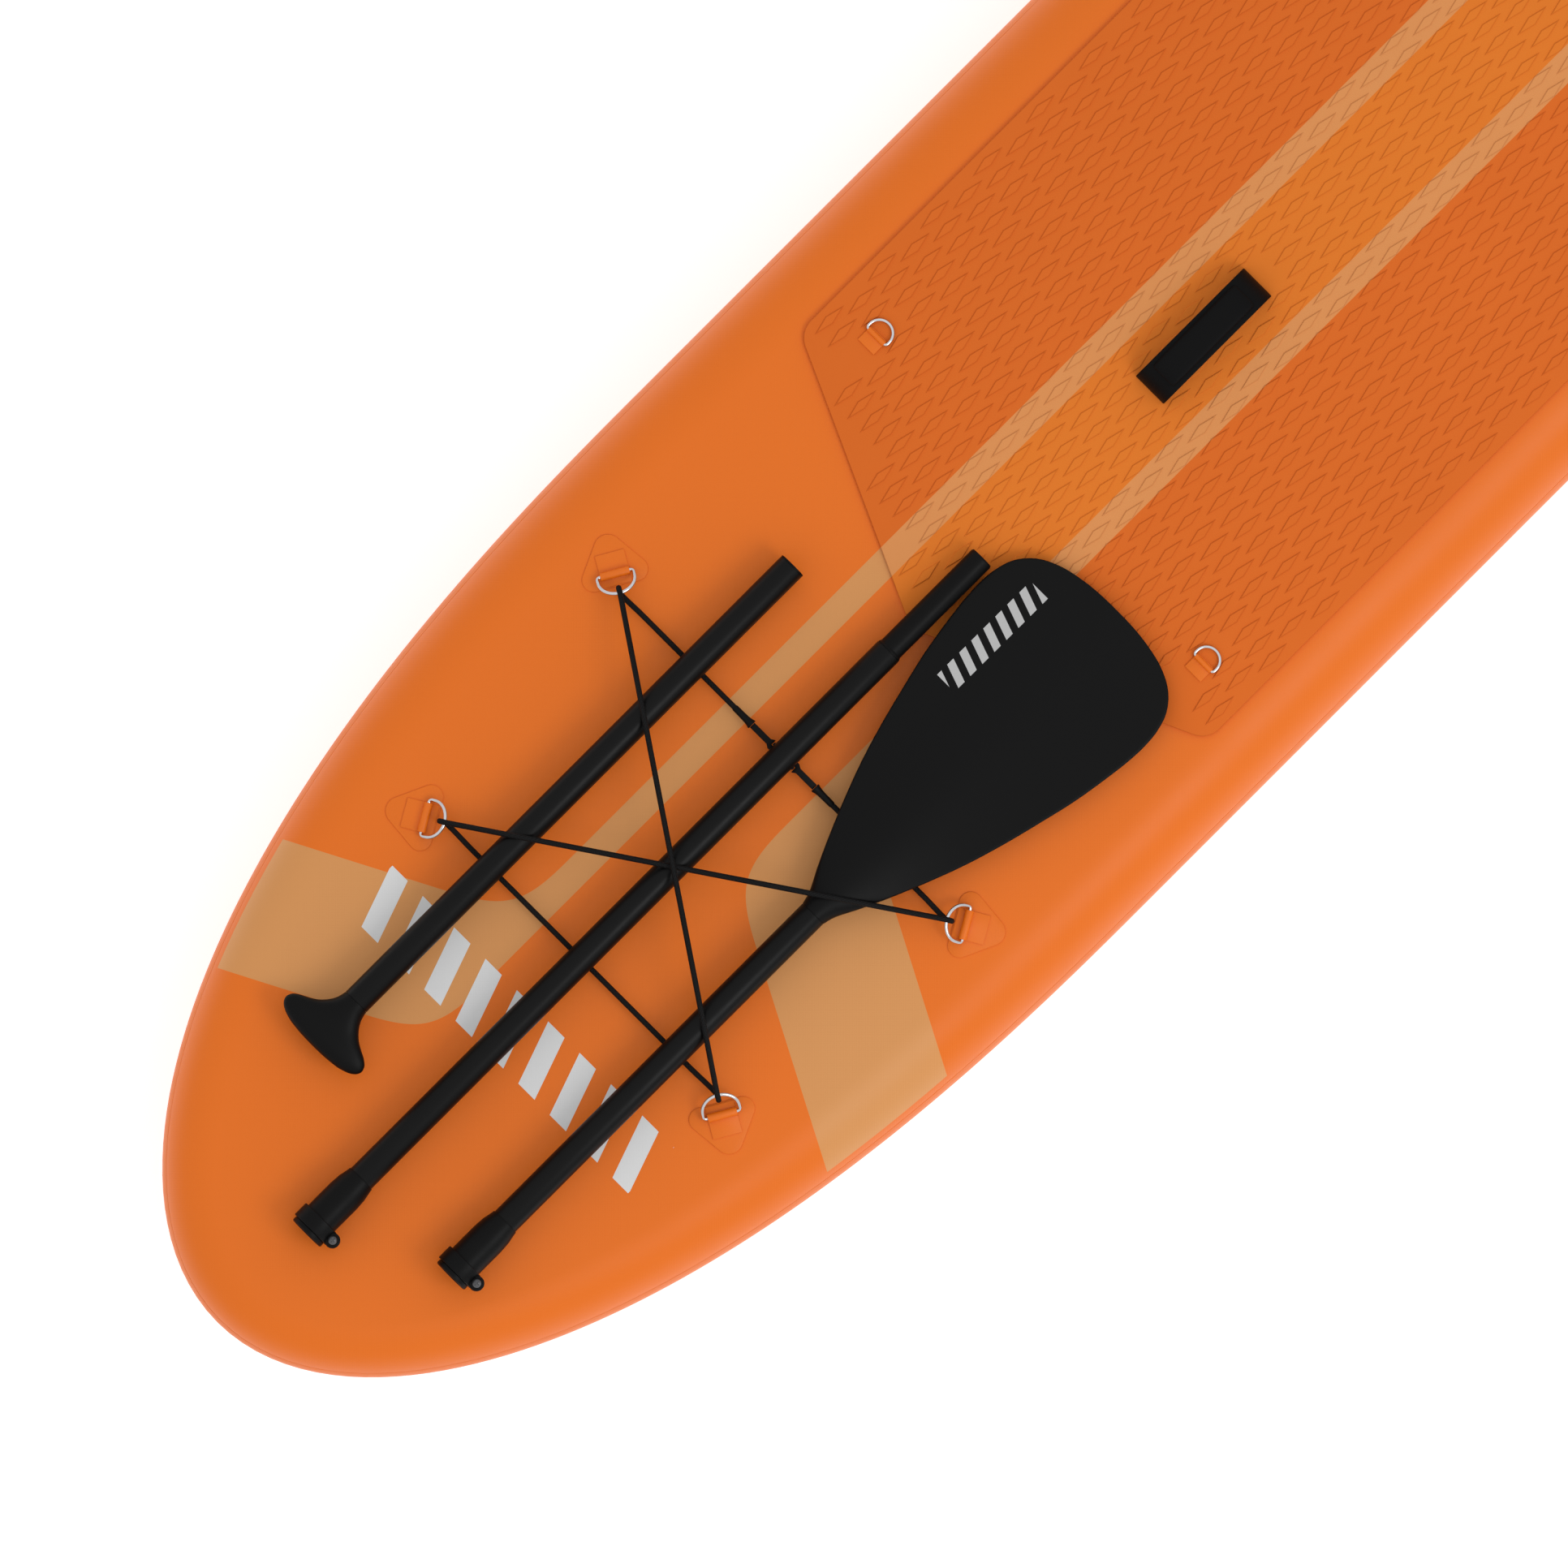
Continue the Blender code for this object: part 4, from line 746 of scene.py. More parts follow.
def eased(corners, radius, steps, closed=True):
    """A profile with its corners rounded. A corner may carry a radius of its own."""
    points = []
    corners = [one for n, one in enumerate(corners)
               if n == 0 or dist(one[:2], corners[n - 1][:2]) > 1e-7]
    count = len(corners)
    for i, corner in enumerate(corners):
        here = Vector(corner[:2])
        if not closed and i in (0, count - 1):
            points.append(tuple(here))
            continue
        back = Vector(corners[i - 1][:2]) - here
        ahead = Vector(corners[(i + 1) % count][:2]) - here
        bend = back.angle(ahead)
        r = corner[2] if len(corner) > 2 else radius
        if r <= 0 or bend > radians(172):
            points.append(tuple(here))
            continue
        reach = min(r / tan(bend / 2), back.length * 0.45, ahead.length * 0.45)
        r = reach * tan(bend / 2)
        centre = here + (back.normalized() + ahead.normalized()).normalized() * r / sin(bend / 2)
        start = here + back.normalized() * reach - centre
        end = here + ahead.normalized() * reach - centre
        for k in range(steps + 1):
            points.append(tuple(centre + start.lerp(end, k / steps).normalized() * r))
    return points


def outline_body(outline, half, matrix, bevel):
    """A flat (x, y) outline made 2 x half thick in z, with eased edges."""
    bm = bmesh.new()
    face = bm.faces.new([bm.verts.new((x, y, -half)) for x, y in outline])
    top = bmesh.ops.extrude_face_region(bm, geom=[face])["geom"]
    bmesh.ops.translate(bm, vec=(0, 0, 2 * half),
                        verts=[v for v in top if isinstance(v, bmesh.types.BMVert)])
    return bevelled(as_mesh(bm, matrix, sharp=40), bevel, sharp=60)


def strap_body(outline, half, matrix):
    """A side view of (y, z) points made a strap 2 x half wide, mapped across and along."""
    bm = bmesh.new()
    uv = bm.loops.layers.uv.new("strip")
    lengths = running_lengths([*outline, outline[0]])
    sides = [[bm.verts.new((x, y, z)) for y, z in outline] for x in (-half, half)]
    for k in range(len(outline)):
        n = (k + 1) % len(outline)
        face = bm.faces.new((sides[0][k], sides[0][n], sides[1][n], sides[1][k]))
        map_face(face, uv, ((-half, lengths[k]), (-half, lengths[k + 1]),
                            (half, lengths[k + 1]), (half, lengths[k])))
    for side in sides:
        face = bm.faces.new(side)
        map_face(face, uv, [(vert.co.z, vert.co.y) for vert in face.verts])
    return bevelled(as_mesh(bm, matrix, sharp=50), STRAP_EDGE, 2, 50, sharp=60)


def box_mesh(low, high, matrix):
    """A block between two opposite corners."""
    bm = bmesh.new()
    bmesh.ops.create_cube(bm, size=1)
    bmesh.ops.scale(bm, vec=[b - a for a, b in zip(low, high)], verts=bm.verts[:])
    bmesh.ops.translate(bm, vec=[(a + b) / 2 for a, b in zip(low, high)], verts=bm.verts[:])
    return as_mesh(bm, matrix)


def rod_mesh(radius, low, high, matrix, steps):
    """A round bar along z, for bores and barrels."""
    return as_mesh(turned([(0, high), (radius, high), (radius, low), (0, low)], steps), matrix)


def arc(centre, radius, start, end, steps):
    """Points of a flat arc."""
    angles = [start + (end - start) * k / steps for k in range(steps + 1)]
    return [(centre[0] + radius * cos(a), centre[1] + radius * sin(a)) for a in angles]


# ---- Geometry Nodes: what repeats ---------------------------------------------------------------


def new_tree(name, *titles):
    """A node group with a shape in and out, a size in metres for each title, and a material."""
    tree = bpy.data.node_groups.new(name, "GeometryNodeTree")
    tree.interface.new_socket("Geometry", in_out="INPUT", socket_type="NodeSocketGeometry")
    for title in titles:
        socket = tree.interface.new_socket(title, in_out="INPUT", socket_type="NodeSocketFloat")
        socket.subtype = "DISTANCE"
        socket.default_value = 0.001
    tree.interface.new_socket("Material", in_out="INPUT", socket_type="NodeSocketMaterial")
    tree.interface.new_socket("Geometry", in_out="OUTPUT", socket_type="NodeSocketGeometry")
    return tree, tree.nodes.new("NodeGroupInput"), tree.nodes.new("NodeGroupOutput")


def end_tree(tree, given, result, copies):
    """Realize Instances and Set Material, then out."""
    real = tree.nodes.new("GeometryNodeRealizeInstances")
    dressed = tree.nodes.new("GeometryNodeSetMaterial")
    tree.links.new(copies, real.inputs[0])
    tree.links.new(real.outputs[0], dressed.inputs["Geometry"])
    tree.links.new(given.outputs["Material"], dressed.inputs["Material"])
    tree.links.new(dressed.outputs[0], result.inputs[0])


DIAMOND_TOP = 0.76             # a diamond's flat top, as a part of its foot


def diamond_tree():
    """A raised diamond on each point: a four-sided cone with its tip cut off."""
    tree, given, result = new_tree("diamond_tree", "Length", "Width", "Height")
    cone = tree.nodes.new("GeometryNodeMeshCone")
    cone.inputs["Vertices"].default_value = 4
    cone.inputs["Radius Top"].default_value = DIAMOND_TOP
    cone.inputs["Radius Bottom"].default_value = 1.0
    tree.links.new(given.outputs["Height"], cone.inputs["Depth"])
    size = tree.nodes.new("ShaderNodeCombineXYZ")
    tree.links.new(math_node(tree, "MULTIPLY", given.outputs["Width"], 0.5), size.inputs[0])
    tree.links.new(math_node(tree, "MULTIPLY", given.outputs["Length"], 0.5), size.inputs[1])
    size.inputs[2].default_value = 1.0
    place = tree.nodes.new("GeometryNodeInstanceOnPoints")
    tree.links.new(given.outputs["Geometry"], place.inputs["Points"])
    tree.links.new(cone.outputs["Mesh"], place.inputs["Instance"])
    tree.links.new(size.outputs[0], place.inputs["Scale"])
    end_tree(tree, given, result, place.outputs[0])
    return tree


def stitch_tree():
    """Short rounded stitches along the lines of a mesh, an even pitch apart."""
    tree, given, result = new_tree("stitch_tree", "Pitch", "Stitch", "Thread")
    curve = tree.nodes.new("GeometryNodeMeshToCurve")
    even = tree.nodes.new("GeometryNodeResampleCurve")
    even.mode = "LENGTH"
    tree.links.new(given.outputs["Geometry"], curve.inputs[0])
    tree.links.new(curve.outputs[0], even.inputs["Curve"])
    tree.links.new(given.outputs["Pitch"], even.inputs["Length"])
    bead = tree.nodes.new("GeometryNodeMeshUVSphere")
    bead.inputs["Segments"].default_value = 6
    bead.inputs["Rings"].default_value = 4
    bead.inputs["Radius"].default_value = 1.0
    size = tree.nodes.new("ShaderNodeCombineXYZ")
    thin = math_node(tree, "MULTIPLY", given.outputs["Thread"], 0.5)
    tree.links.new(thin, size.inputs[0])
    tree.links.new(thin, size.inputs[1])
    tree.links.new(math_node(tree, "MULTIPLY", given.outputs["Stitch"], 0.5), size.inputs[2])
    tangent = tree.nodes.new("GeometryNodeInputTangent")
    turn = tree.nodes.new("FunctionNodeAlignRotationToVector")
    turn.axis = "Z"
    tree.links.new(tangent.outputs[0], turn.inputs["Vector"])
    place = tree.nodes.new("GeometryNodeInstanceOnPoints")
    tree.links.new(even.outputs[0], place.inputs["Points"])
    tree.links.new(bead.outputs["Mesh"], place.inputs["Instance"])
    tree.links.new(turn.outputs[0], place.inputs["Rotation"])
    tree.links.new(size.outputs[0], place.inputs["Scale"])
    end_tree(tree, given, result, place.outputs[0])
    return tree


def grown(guide, make_tree, finish, **sizes):
    """The plain mesh that a node group grows on a guide mesh, with its sizes set by title."""
    made = loose(guide, "guide")
    grow = made.modifiers.new("grow", "NODES")
    grow.node_group = bpy.data.node_groups.get(make_tree.__name__) or make_tree()
    inputs = {"Material": finish, **sizes}
    for item in grow.node_group.interface.items_tree:
        if item.in_out == "INPUT" and item.name in inputs:
            grow[item.identifier] = inputs[item.name]
    mesh = settle(made)
    mesh.shade_smooth()
    return mesh


def stitches(name, lines, finish, body):
    """Rows of stitches along lines of points."""
    sewn = settings().webbing
    guide = bpy.data.meshes.new("lines")
    points, edges = [], []
    for line in lines:
        edges += [(len(points) + i, len(points) + i + 1) for i in range(len(line) - 1)]
        points += line
    guide.from_pydata(points, edges, [])
    mesh = grown(guide, stitch_tree, finish, Pitch=sewn.stitch_pitch, Stitch=sewn.stitch,
                 Thread=sewn.thread)
    publish(name, mesh, finish, body)


# ---- The hull's shape ---------------------------------------------------------------------------


def along(s):
    """A distance from the nose tip as a place on y."""
    return s - LENGTH / 2


def nose_part(s):
    """How far into the nose's upward curve a place is, from 1 at the tip to 0."""
    return max(0.0, 1 - s / NOSE_ROCKER_RUN) ** 2


def tail_part(s):
    """The same for the tail."""
    return max(0.0, (s - LENGTH + TAIL_ROCKER_RUN) / TAIL_ROCKER_RUN) ** 2


def deck_z(s):
    return DECK_Z + NOSE_LIFT * nose_part(s) + TAIL_LIFT * tail_part(s)


def bottom_z(s):
    return FIN_DEPTH + NOSE_ROCKER * nose_part(s) + TAIL_ROCKER * tail_part(s)


def tilt(height, s):
    """How steeply the deck or the bottom rises towards the tail."""
    step = 0.001
    return atan((height(s + step) - height(s - step)) / (2 * step))


def raised(height):
    """A move straight up."""
    return Matrix.Translation((0, 0, height))


def standing(x, s, height, lift=0.0):
    """A frame on the deck or the bottom, raised by lift and tilted along with it."""
    return (Matrix.Translation((x, along(s), height(s) + lift))
            @ Matrix.Rotation(tilt(height, s), 4, "X"))


def half_width(s):
    """The hull's half width."""
    if s < NOSE_RUN:
        return WIDTH / 2 * sqrt(1 - (1 - s / NOSE_RUN) ** NOSE_FULLNESS)
    if s > LENGTH - TAIL_RUN:
        part = min(1.0, (s - LENGTH + TAIL_RUN) / TAIL_RUN)
        return WIDTH / 2 * (1 - part ** TAIL_FULLNESS) ** (1 / TAIL_BLUNTNESS)
    return WIDTH / 2


def half_outline():
    """The left edge from nose tip to tail tip, as (x, s) with its outward direction."""
    fine = 6000
    marks = [LENGTH * (1 - cos(pi * k / fine)) / 2 for k in range(fine + 1)]
    chain = [(half_width(s), s) for s in marks]
    edge = even_points(chain, STATIONS)
    stations = []
    for i, (x, s) in enumerate(edge):
        before = edge[i - 1] if i else (-edge[1][0], edge[1][1])
        after = edge[i + 1] if i < STATIONS else (-edge[-2][0], edge[-2][1])
        way = Vector((after[0] - before[0], after[1] - before[1])).normalized()
        stations.append((x, s, way.y, -way.x))
    return stations


OUTLINE = half_outline()


def rail_point(station, angle, side, lift=0.0):
    """A point on the round rail: 90 degrees is the deck's edge, -90 the bottom's."""
    x, s, out_x, out_s = station
    radius = (deck_z(s) - bottom_z(s)) / 2
    inner_x = x - out_x * radius
    inner_s = s - out_s * radius
    reach = (radius + lift) * cos(angle)
    z = deck_z(inner_s) - radius + (radius + lift) * sin(angle)
    return Vector((side * (inner_x + out_x * reach), along(inner_s + out_s * reach), z))


def hull_skin():
    """Deck, rails and bottom as one smooth skin with a hole for the valve."""
    bm = bmesh.new()
    angles = [pi / 2 - pi * k / RAIL_STEPS for k in range(RAIL_STEPS + 1)]
    rows = []
    for station in OUTLINE:
        left = [rail_point(station, a, 1) for a in angles]
        right = [Vector((-p.x, p.y, p.z)) for p in reversed(left)]
        under = (left[-1] + right[0]) / 2
        over = (left[0] + right[-1]) / 2
        rows.append([bm.verts.new(point) for point in [over, *left, under, *right]])
    count = len(rows[0])
    for one, two in zip(rows, rows[1:]):
        for k in range(count):
            n = (k + 1) % count
            bm.faces.new((one[k], one[n], two[n], two[k]))
    bmesh.ops.remove_doubles(bm, verts=bm.verts[:], dist=0.00002)
    bmesh.ops.dissolve_degenerate(bm, dist=0.00001, edges=bm.edges[:])
    made = loose(as_mesh(bm, sharp=50))
    wall = made.modifiers.new("fabric", "SOLIDIFY")
    wall.thickness = SKIN
    wall.offset = -1
    well = rod_mesh(VALVE_RADIUS + 0.0005, DECK_Z - 0.02, DECK_Z + 0.05,
                    Matrix.Translation((0, along(VALVE_S), 0)), 64)
    mesh = combined(settle(made), ("DIFFERENCE", well), sharp=50)
    publish("hull_skin", mesh, coated_fabric_printed(), "board",
            ("deck_panel", "bottom_panel", "rail_band"))


TAPE_TOP, TAPE_FOOT, TAPE_STEPS = radians(21), radians(-52), 14


def seam_tape():
    """The glued tape that covers the seam low on the rail, all the way round."""
    lift = settings().hull.tape
    angles = [TAPE_TOP + (TAPE_FOOT - TAPE_TOP) * k / TAPE_STEPS for k in range(TAPE_STEPS + 1)]
    ease = [0.0, *[lift] * (TAPE_STEPS - 1), 0.0]
    left = [(station, 1) for station in OUTLINE]
    right = [(station, -1) for station in reversed(OUTLINE[1:-1])]
    rings = []
    for station, side in left + right:
        outer = [rail_point(station, a, side, up + 0.0001) for a, up in zip(angles, ease)]
        inner = [rail_point(station, a, side, -0.0002) for a in reversed(angles)]
        rings.append(outer + inner)
    publish("rail_seam_tape", as_mesh(skin(rings, closed=True), sharp=30),
            coated_fabric_plain(), "board")


# ---- Foam pad -----------------------------------------------------------------------------------


def pad_side():
    """The pad's left edge from the front point back, as (half width, s)."""
    corners = [(0, PAD_APEX, 0.0), (PAD_HALF, PAD_CORNER, PAD_CORNER_RADIUS), (PAD_HALF, 2.2)]
    edge = eased(corners, 0.0, 10, closed=False)
    start = even_points(edge[:2], 8, last=False)
    straight = 1.26
    marks = [straight + (PAD_END - straight) * k / 60 for k in range(61)]
    rails = [(min(PAD_HALF, half_width(s) - (deck_z(s) - bottom_z(s)) / 2), s) for s in marks]
    return start + edge[1:-1] + rails


def pad_half_width(s):
    """How far the pad reaches from its middle line."""
    edge = pad_side()
    for (x0, s0), (x1, s1) in zip(edge, edge[1:]):
        if s0 <= s <= s1:
            return x0 + (x1 - x0) * (s - s0) / max(1e-9, s1 - s0)
    return 0.0


def deck_pad():
    """The foam sheet on the deck, with its edges rounded."""
    bm = bmesh.new()
    rows = []
    for x, s in pad_side():
        z = deck_z(s) + GAP
        rows.append([bm.verts.new((u, along(s), z)) for u in ((x, 0, -x) if x else (0,))])
    for one, two in zip(rows, rows[1:]):
        if len(one) == 1:
            for i in range(2):
                bm.faces.new((one[0], two[i], two[i + 1]))
        else:
            for i in range(2):
                bm.faces.new((one[i], two[i], two[i + 1], one[i + 1]))
    top = bmesh.ops.extrude_face_region(bm, geom=bm.faces[:])["geom"]
    for v in top:
        if isinstance(v, bmesh.types.BMVert):
            v.co.z += PAD_THICKNESS - GAP
    mesh = bevelled(as_mesh(bm, sharp=50), 0.0014, 3, 50, sharp=60)
    publish("deck_pad", mesh, eva_foam(), "board", ("traction_pad",))


def pad_diamonds():
    """Raised diamonds over the whole pad, every other row half a pitch aside."""
    pad = settings().pad
    sunk = 0.00002
    points = []
    row = 0
    s = PAD_APEX + PAD_FIRST_ROW
    while s < PAD_END - pad.diamond_length / 2 - PAD_MARGIN:
        shift = pad.pitch / 2 if row % 2 else 0.0
        count = int(PAD_HALF / pad.pitch) + 1
        for n in range(-count, count + 1):
            x = n * pad.pitch + shift
            reach = abs(x) + pad.diamond_width / 2 + PAD_MARGIN
            fits = all(reach < pad_half_width(s + part * pad.diamond_length / 2)
                       for part in (-0.7, 0, 0.7))
            if fits and not under_strap(x, s):
                points.append((x, along(s), deck_z(s) + PAD_THICKNESS - sunk))
        s += pad.rows
        row += 1
    guide = bpy.data.meshes.new("points")
    guide.from_pydata(points, [], [])
    mesh = grown(guide, diamond_tree, eva_foam(), Length=pad.diamond_length,
                 Width=pad.diamond_width, Height=pad.diamond_height)
    mesh.shade_flat()
    publish("pad_diamonds", mesh, eva_foam(), "board")


def under_strap(x, s):
    """Whether a diamond here would lie under a seat strap or an end of the handle."""
    for strap_s in (SEAT_RING_FRONT - 0.006, SEAT_RING_REAR + 0.006):
        if abs(abs(x) - SEAT_RING_X) < 0.017 and abs(s - strap_s) < 0.030:
            return True
    ends = abs(abs(s - HANDLE_S) - HANDLE_LENGTH / 2) < 0.024
    return ends and abs(x) < HANDLE_WIDTH / 2 + 0.004


# ---- Straps, patches and rings ------------------------------------------------------------------


def d_ring(name, half, depth, leg, wire, matrix, body, node):
    """A D-shaped steel ring: its bar lies along x on the origin, its bow towards +y."""
    corner = wire * 1.6
    right = arc((half - corner, corner), corner, -pi / 2, 0, 5)
    bow = [(half * x, leg + (depth - leg) * y) for x, y in arc((0, 0), 1, 0, pi, 36)]
    left = [(-x, y) for x, y in reversed(right)]
    path = [matrix @ Vector((x, y, 0)) for x, y in [*right, *bow, *left]]
    path = smooth_path(path, wire * 0.6, closed=True)
    mesh = as_mesh(round_tube(path, wire, 16, closed=True), sharp=60)
    publish(name, mesh, polished_steel(), body, (node,))


def folded_strap(roll, base, tail, front):
    """The side view of a strap folded round a ring's bar, as (y, z) points."""
    layer = base + WEBBING
    middle = base + roll
    sink = asin((layer - middle) / roll)
    return [(-tail, base), (front, base), (front, layer),
            *arc((0, middle), roll, sink, pi - sink, 28), (-tail, layer)]


def patch_and_ring(word, outline, facing, strap, swing, body):
    """A glued patch, a strap folded over it and the D-ring in the fold."""
    half = PATCH_THICKNESS / 2
    base = 2 * GAP + PATCH_THICKNESS
    publish(word + "_glued_patch", outline_body(outline, half, facing @ raised(GAP + half), 0.0004),
            coated_fabric_plain(), "board", (word + "_patch",))
    publish(word + "_webbing",
            strap_body(folded_strap(ROLL_RADIUS, base, *strap), ROLL_HALF, facing),
            orange_webbing(), "board", (word + "_strap",))
    ring = facing @ raised(base + ROLL_RADIUS) @ Matrix.Rotation(swing, 4, "X")
    d_ring(word + "_d_ring", RING_HALF, RING_DEPTH, RING_LEG, RING_WIRE, ring, body,
           word + "_ring")


ANCHOR_PATCH = ((0, -0.0535, 0.015), (0.0475, 0.0135, 0.0125), (-0.0475, 0.0135, 0.0125))


def bungee_anchor(word, side, place_xs, turn_way):
    """One of the cord's anchors. Returns where the cord passes the ring, and the way it pulls."""
    x, s = place_xs
    heading = Vector((-side * cos(ANCHOR_TURN), turn_way * sin(ANCHOR_TURN)))
    turn = -Vector((0, 1)).angle_signed(heading)
    facing = standing(side * x, s, deck_z) @ Matrix.Rotation(turn, 4, "Z")
    patch_and_ring(word, eased(ANCHOR_PATCH, 0, 12), facing, (0.023, 0.012), RING_TILT, "board")
    height = 2 * GAP + PATCH_THICKNESS + ROLL_RADIUS
    deck = Matrix.Rotation(tilt(deck_z, s), 3, "X")
    centre = Vector((side * x, along(s), deck_z(s))) + deck @ Vector((0, 0, height))
    flat = Vector((heading.x, heading.y, 0))
    bow = centre + deck @ (flat * cos(RING_TILT) + Vector((0, 0, sin(RING_TILT)))) * RING_DEPTH
    return bow, flat


def anchor_rings():
    """Each anchor's side, its place and the way its ring turns."""
    return {"front_left": (1, FRONT_ANCHOR, 1), "front_right": (-1, FRONT_ANCHOR, 1),
            "rear_left": (1, REAR_ANCHOR, -1), "rear_right": (-1, REAR_ANCHOR, -1)}


def seat_ring(word, x, s, way):
    """A strap sewn to the pad and the free ring that lies in it."""
    holder = (standing(x, s, deck_z, PAD_THICKNESS + GAP)
              @ Matrix.Rotation(0 if way > 0 else pi, 4, "Z"))
    outline = folded_strap(SMALL_ROLL, 0, 0.016, 0.004)
    publish(f"seat_{word}_webbing", strap_body(outline, SMALL_ROLL_HALF, holder),
            orange_webbing(), "board", (f"seat_{word}_strap",))
    drop = -asin((SMALL_ROLL - SMALL_WIRE - RING_CLEARANCE) / SMALL_DEPTH)
    ring = holder @ raised(SMALL_ROLL) @ Matrix.Rotation(drop, 4, "X")
    d_ring(f"seat_{word}_d_ring", SMALL_HALF, SMALL_DEPTH, SMALL_LEG, SMALL_WIRE, ring,
           f"seat_{word}_ring", f"seat_{word}_ring")


def leash_point():
    """The tail ring on its round patch."""
    drop = -asin((ROLL_RADIUS - RING_WIRE - RING_CLEARANCE) / RING_DEPTH)
    patch_and_ring("leash", arc((0, 0), LEASH_PATCH, 0, 2 * pi, 72)[:-1],
                   standing(0, LEASH_S, deck_z), (0.020, 0.008), drop, "leash_ring")


# ---- Bungee -------------------------------------------------------------------------------------


def between(one, two, steps):
    """Even points on a straight run, with both its ends."""
    return [one.lerp(two, k / steps) for k in range(steps + 1)]


def around_ring(bow, way, upwards):
    """The cord's turn round a ring's bow, from under it to over it, or back."""
    turns = [-90, -135, 180, 135, 90]
    points = []
    for angle in turns if upwards else reversed(turns):
        a = radians(angle)
        points.append(bow + way * WRAP * cos(a) + Vector((0, 0, WRAP * sin(a))))
    return points


def over_shafts(start, end, lift, leans):
    """The cord from one ring to the one across, over the three shafts."""
    run = end - start
    order = [BLADE_X, MIDDLE_X, GRIP_X] if run.x < 0 else [GRIP_X, MIDDLE_X, BLADE_X]
    points = []
    last = start
    for shaft in order:
        raised = lift if shaft == MIDDLE_X else 0
        crowns = []
        for lean in leans[shaft]:
            a = radians(lean)
            reach = CROWN + raised
            x = shaft + reach * sin(a)
            spot = start + run * ((x - start.x) / run.x)
            axis = (deck_z(SHAFT_PIVOT) + SHAFT_BASE + SHAFT_RADIUS
                    + SHAFT_SLOPE * (along(SHAFT_PIVOT) - spot.y))
            crowns.append(Vector((spot.x, spot.y, axis + reach * cos(a))))
        points += between(last, crowns[0], 3)[1:-1] + crowns
        last = crowns[-1]
    return points + between(last, end, 4)[1:-1]


HOOK_HALF, HOOK_SPLIT = 0.0035, 0.0002
HOOK_SIDE = ((JOINER_HALF - GAP, -HOOK_HALF), (JOINER_HALF - GAP, HOOK_HALF), (0.022, HOOK_HALF),
             (0.018, 0.006), (-0.013, 0.006), (-0.017, HOOK_HALF), (-0.017, HOOK_SPLIT),
             (-0.0098, HOOK_SPLIT), (-0.0098, -0.0024), (-0.0032, -0.0024),
             (-0.0032, HOOK_SPLIT), (0.0026, HOOK_SPLIT), (0.0026, 0.0030), (0.0104, 0.0030),
             (0.0104, HOOK_SPLIT), (0.0175, HOOK_SPLIT), (0.0175, -0.006), (0.0185, -0.006),
             (0.022, -HOOK_HALF))
CRIMP = ((0.0031, 0.0735), (0.0036, 0.0722), (0.0038, 0.0600), (0.0040, 0.0545),
         (0.0047, 0.0505), (0.0054, 0.0485), (0.0052, JOINER_HALF), (0.0031, JOINER_HALF))


def bungee(bows):
    """The shock cord, crossed over the paddle, with its two-piece hook and crimps."""
    (rear_left, way_rl), (front_right, way_fr) = bows["rear_left"], bows["front_right"]
    (front_left, way_fl), (rear_right, way_rr) = bows["front_left"], bows["rear_right"]
    down = Vector((0, 0, -WRAP))
    joiner = Vector((JOINER_HALF, rear_left.y, rear_left.z - WRAP))
    route = between(joiner, rear_left + down, 6)[:-1]
    route += around_ring(rear_left, way_rl, True)
    route += over_shafts(route[-1], front_right - down, 0.0,
                         {BLADE_X: (20, 10, -2), MIDDLE_X: (2, -2), GRIP_X: (0, -12, -26)})
    route += around_ring(front_right, way_fr, False)
    route += between(front_right + down, front_left + down, 10)[1:-1]
    route += around_ring(front_left, way_fl, True)
    route += over_shafts(route[-1], rear_right - down, CORD_STEP,
                         {BLADE_X: (26, 12, 0), MIDDLE_X: (2, -2), GRIP_X: (2, -10, -20)})
    route += around_ring(rear_right, way_rr, False)
    end = Vector((-JOINER_HALF, joiner.y, joiner.z))
    route += between(rear_right + down, end, 6)[1:]
    cord = as_mesh(round_tube(smooth_path(route, 0.0020), CORD_RADIUS, 16), sharp=60)
    publish("shock_cord_run", cord, braided_shock_cord(), "board",
            ("bungee_cord",))
    for word, turn, side in (("left", 0.0, 1), ("right", pi, -1)):
        place = Matrix.Translation((0, joiner.y, joiner.z))
        hook = outline_body(HOOK_SIDE, 0.0030, place @ Matrix.Rotation(turn, 4, "Z"), 0.0005)
        crimp = as_mesh(turned(CRIMP, 32, closed=True),
                        place @ Matrix.Rotation(side * pi / 2, 4, "Y"))
        publish(f"bungee_end_hook_{word}", hook, moulded_plastic(), "board",
                (f"bungee_hook_{word}",))
        publish(f"bungee_crimp_{word}", crimp, moulded_plastic(), "board")


# ---- Paddle -------------------------------------------------------------------------------------

LENGTHWAYS = Matrix.Rotation(-pi / 2, 4, "X")


def section_axis(x):
    """A frame on a stowed section's middle line, with y running down the shaft."""
    height = deck_z(SHAFT_PIVOT) + SHAFT_BASE + SHAFT_RADIUS
    return (Matrix.Translation((x, along(SHAFT_PIVOT), height))
            @ Matrix.Rotation(-SLOPE_ANGLE, 4, "X"))


def down_shaft(s):
    """A place along the board as a distance down a sloping shaft."""
    return (s - SHAFT_PIVOT) / cos(SLOPE_ANGLE)


def shaft_tube(name, x, start, end, body, node):
    """A hollow painted tube."""
    low, high = down_shaft(start), down_shaft(end)
    inner = SHAFT_RADIUS - SHAFT_WALL
    profile = eased([(SHAFT_RADIUS, high), (SHAFT_RADIUS, low), (inner, low), (inner, high)],
                    0.0004, 2)
    mesh = as_mesh(turned(profile, closed=True), section_axis(x) @ LENGTHWAYS)
    publish(name, mesh, painted_tube(), body, (node,))


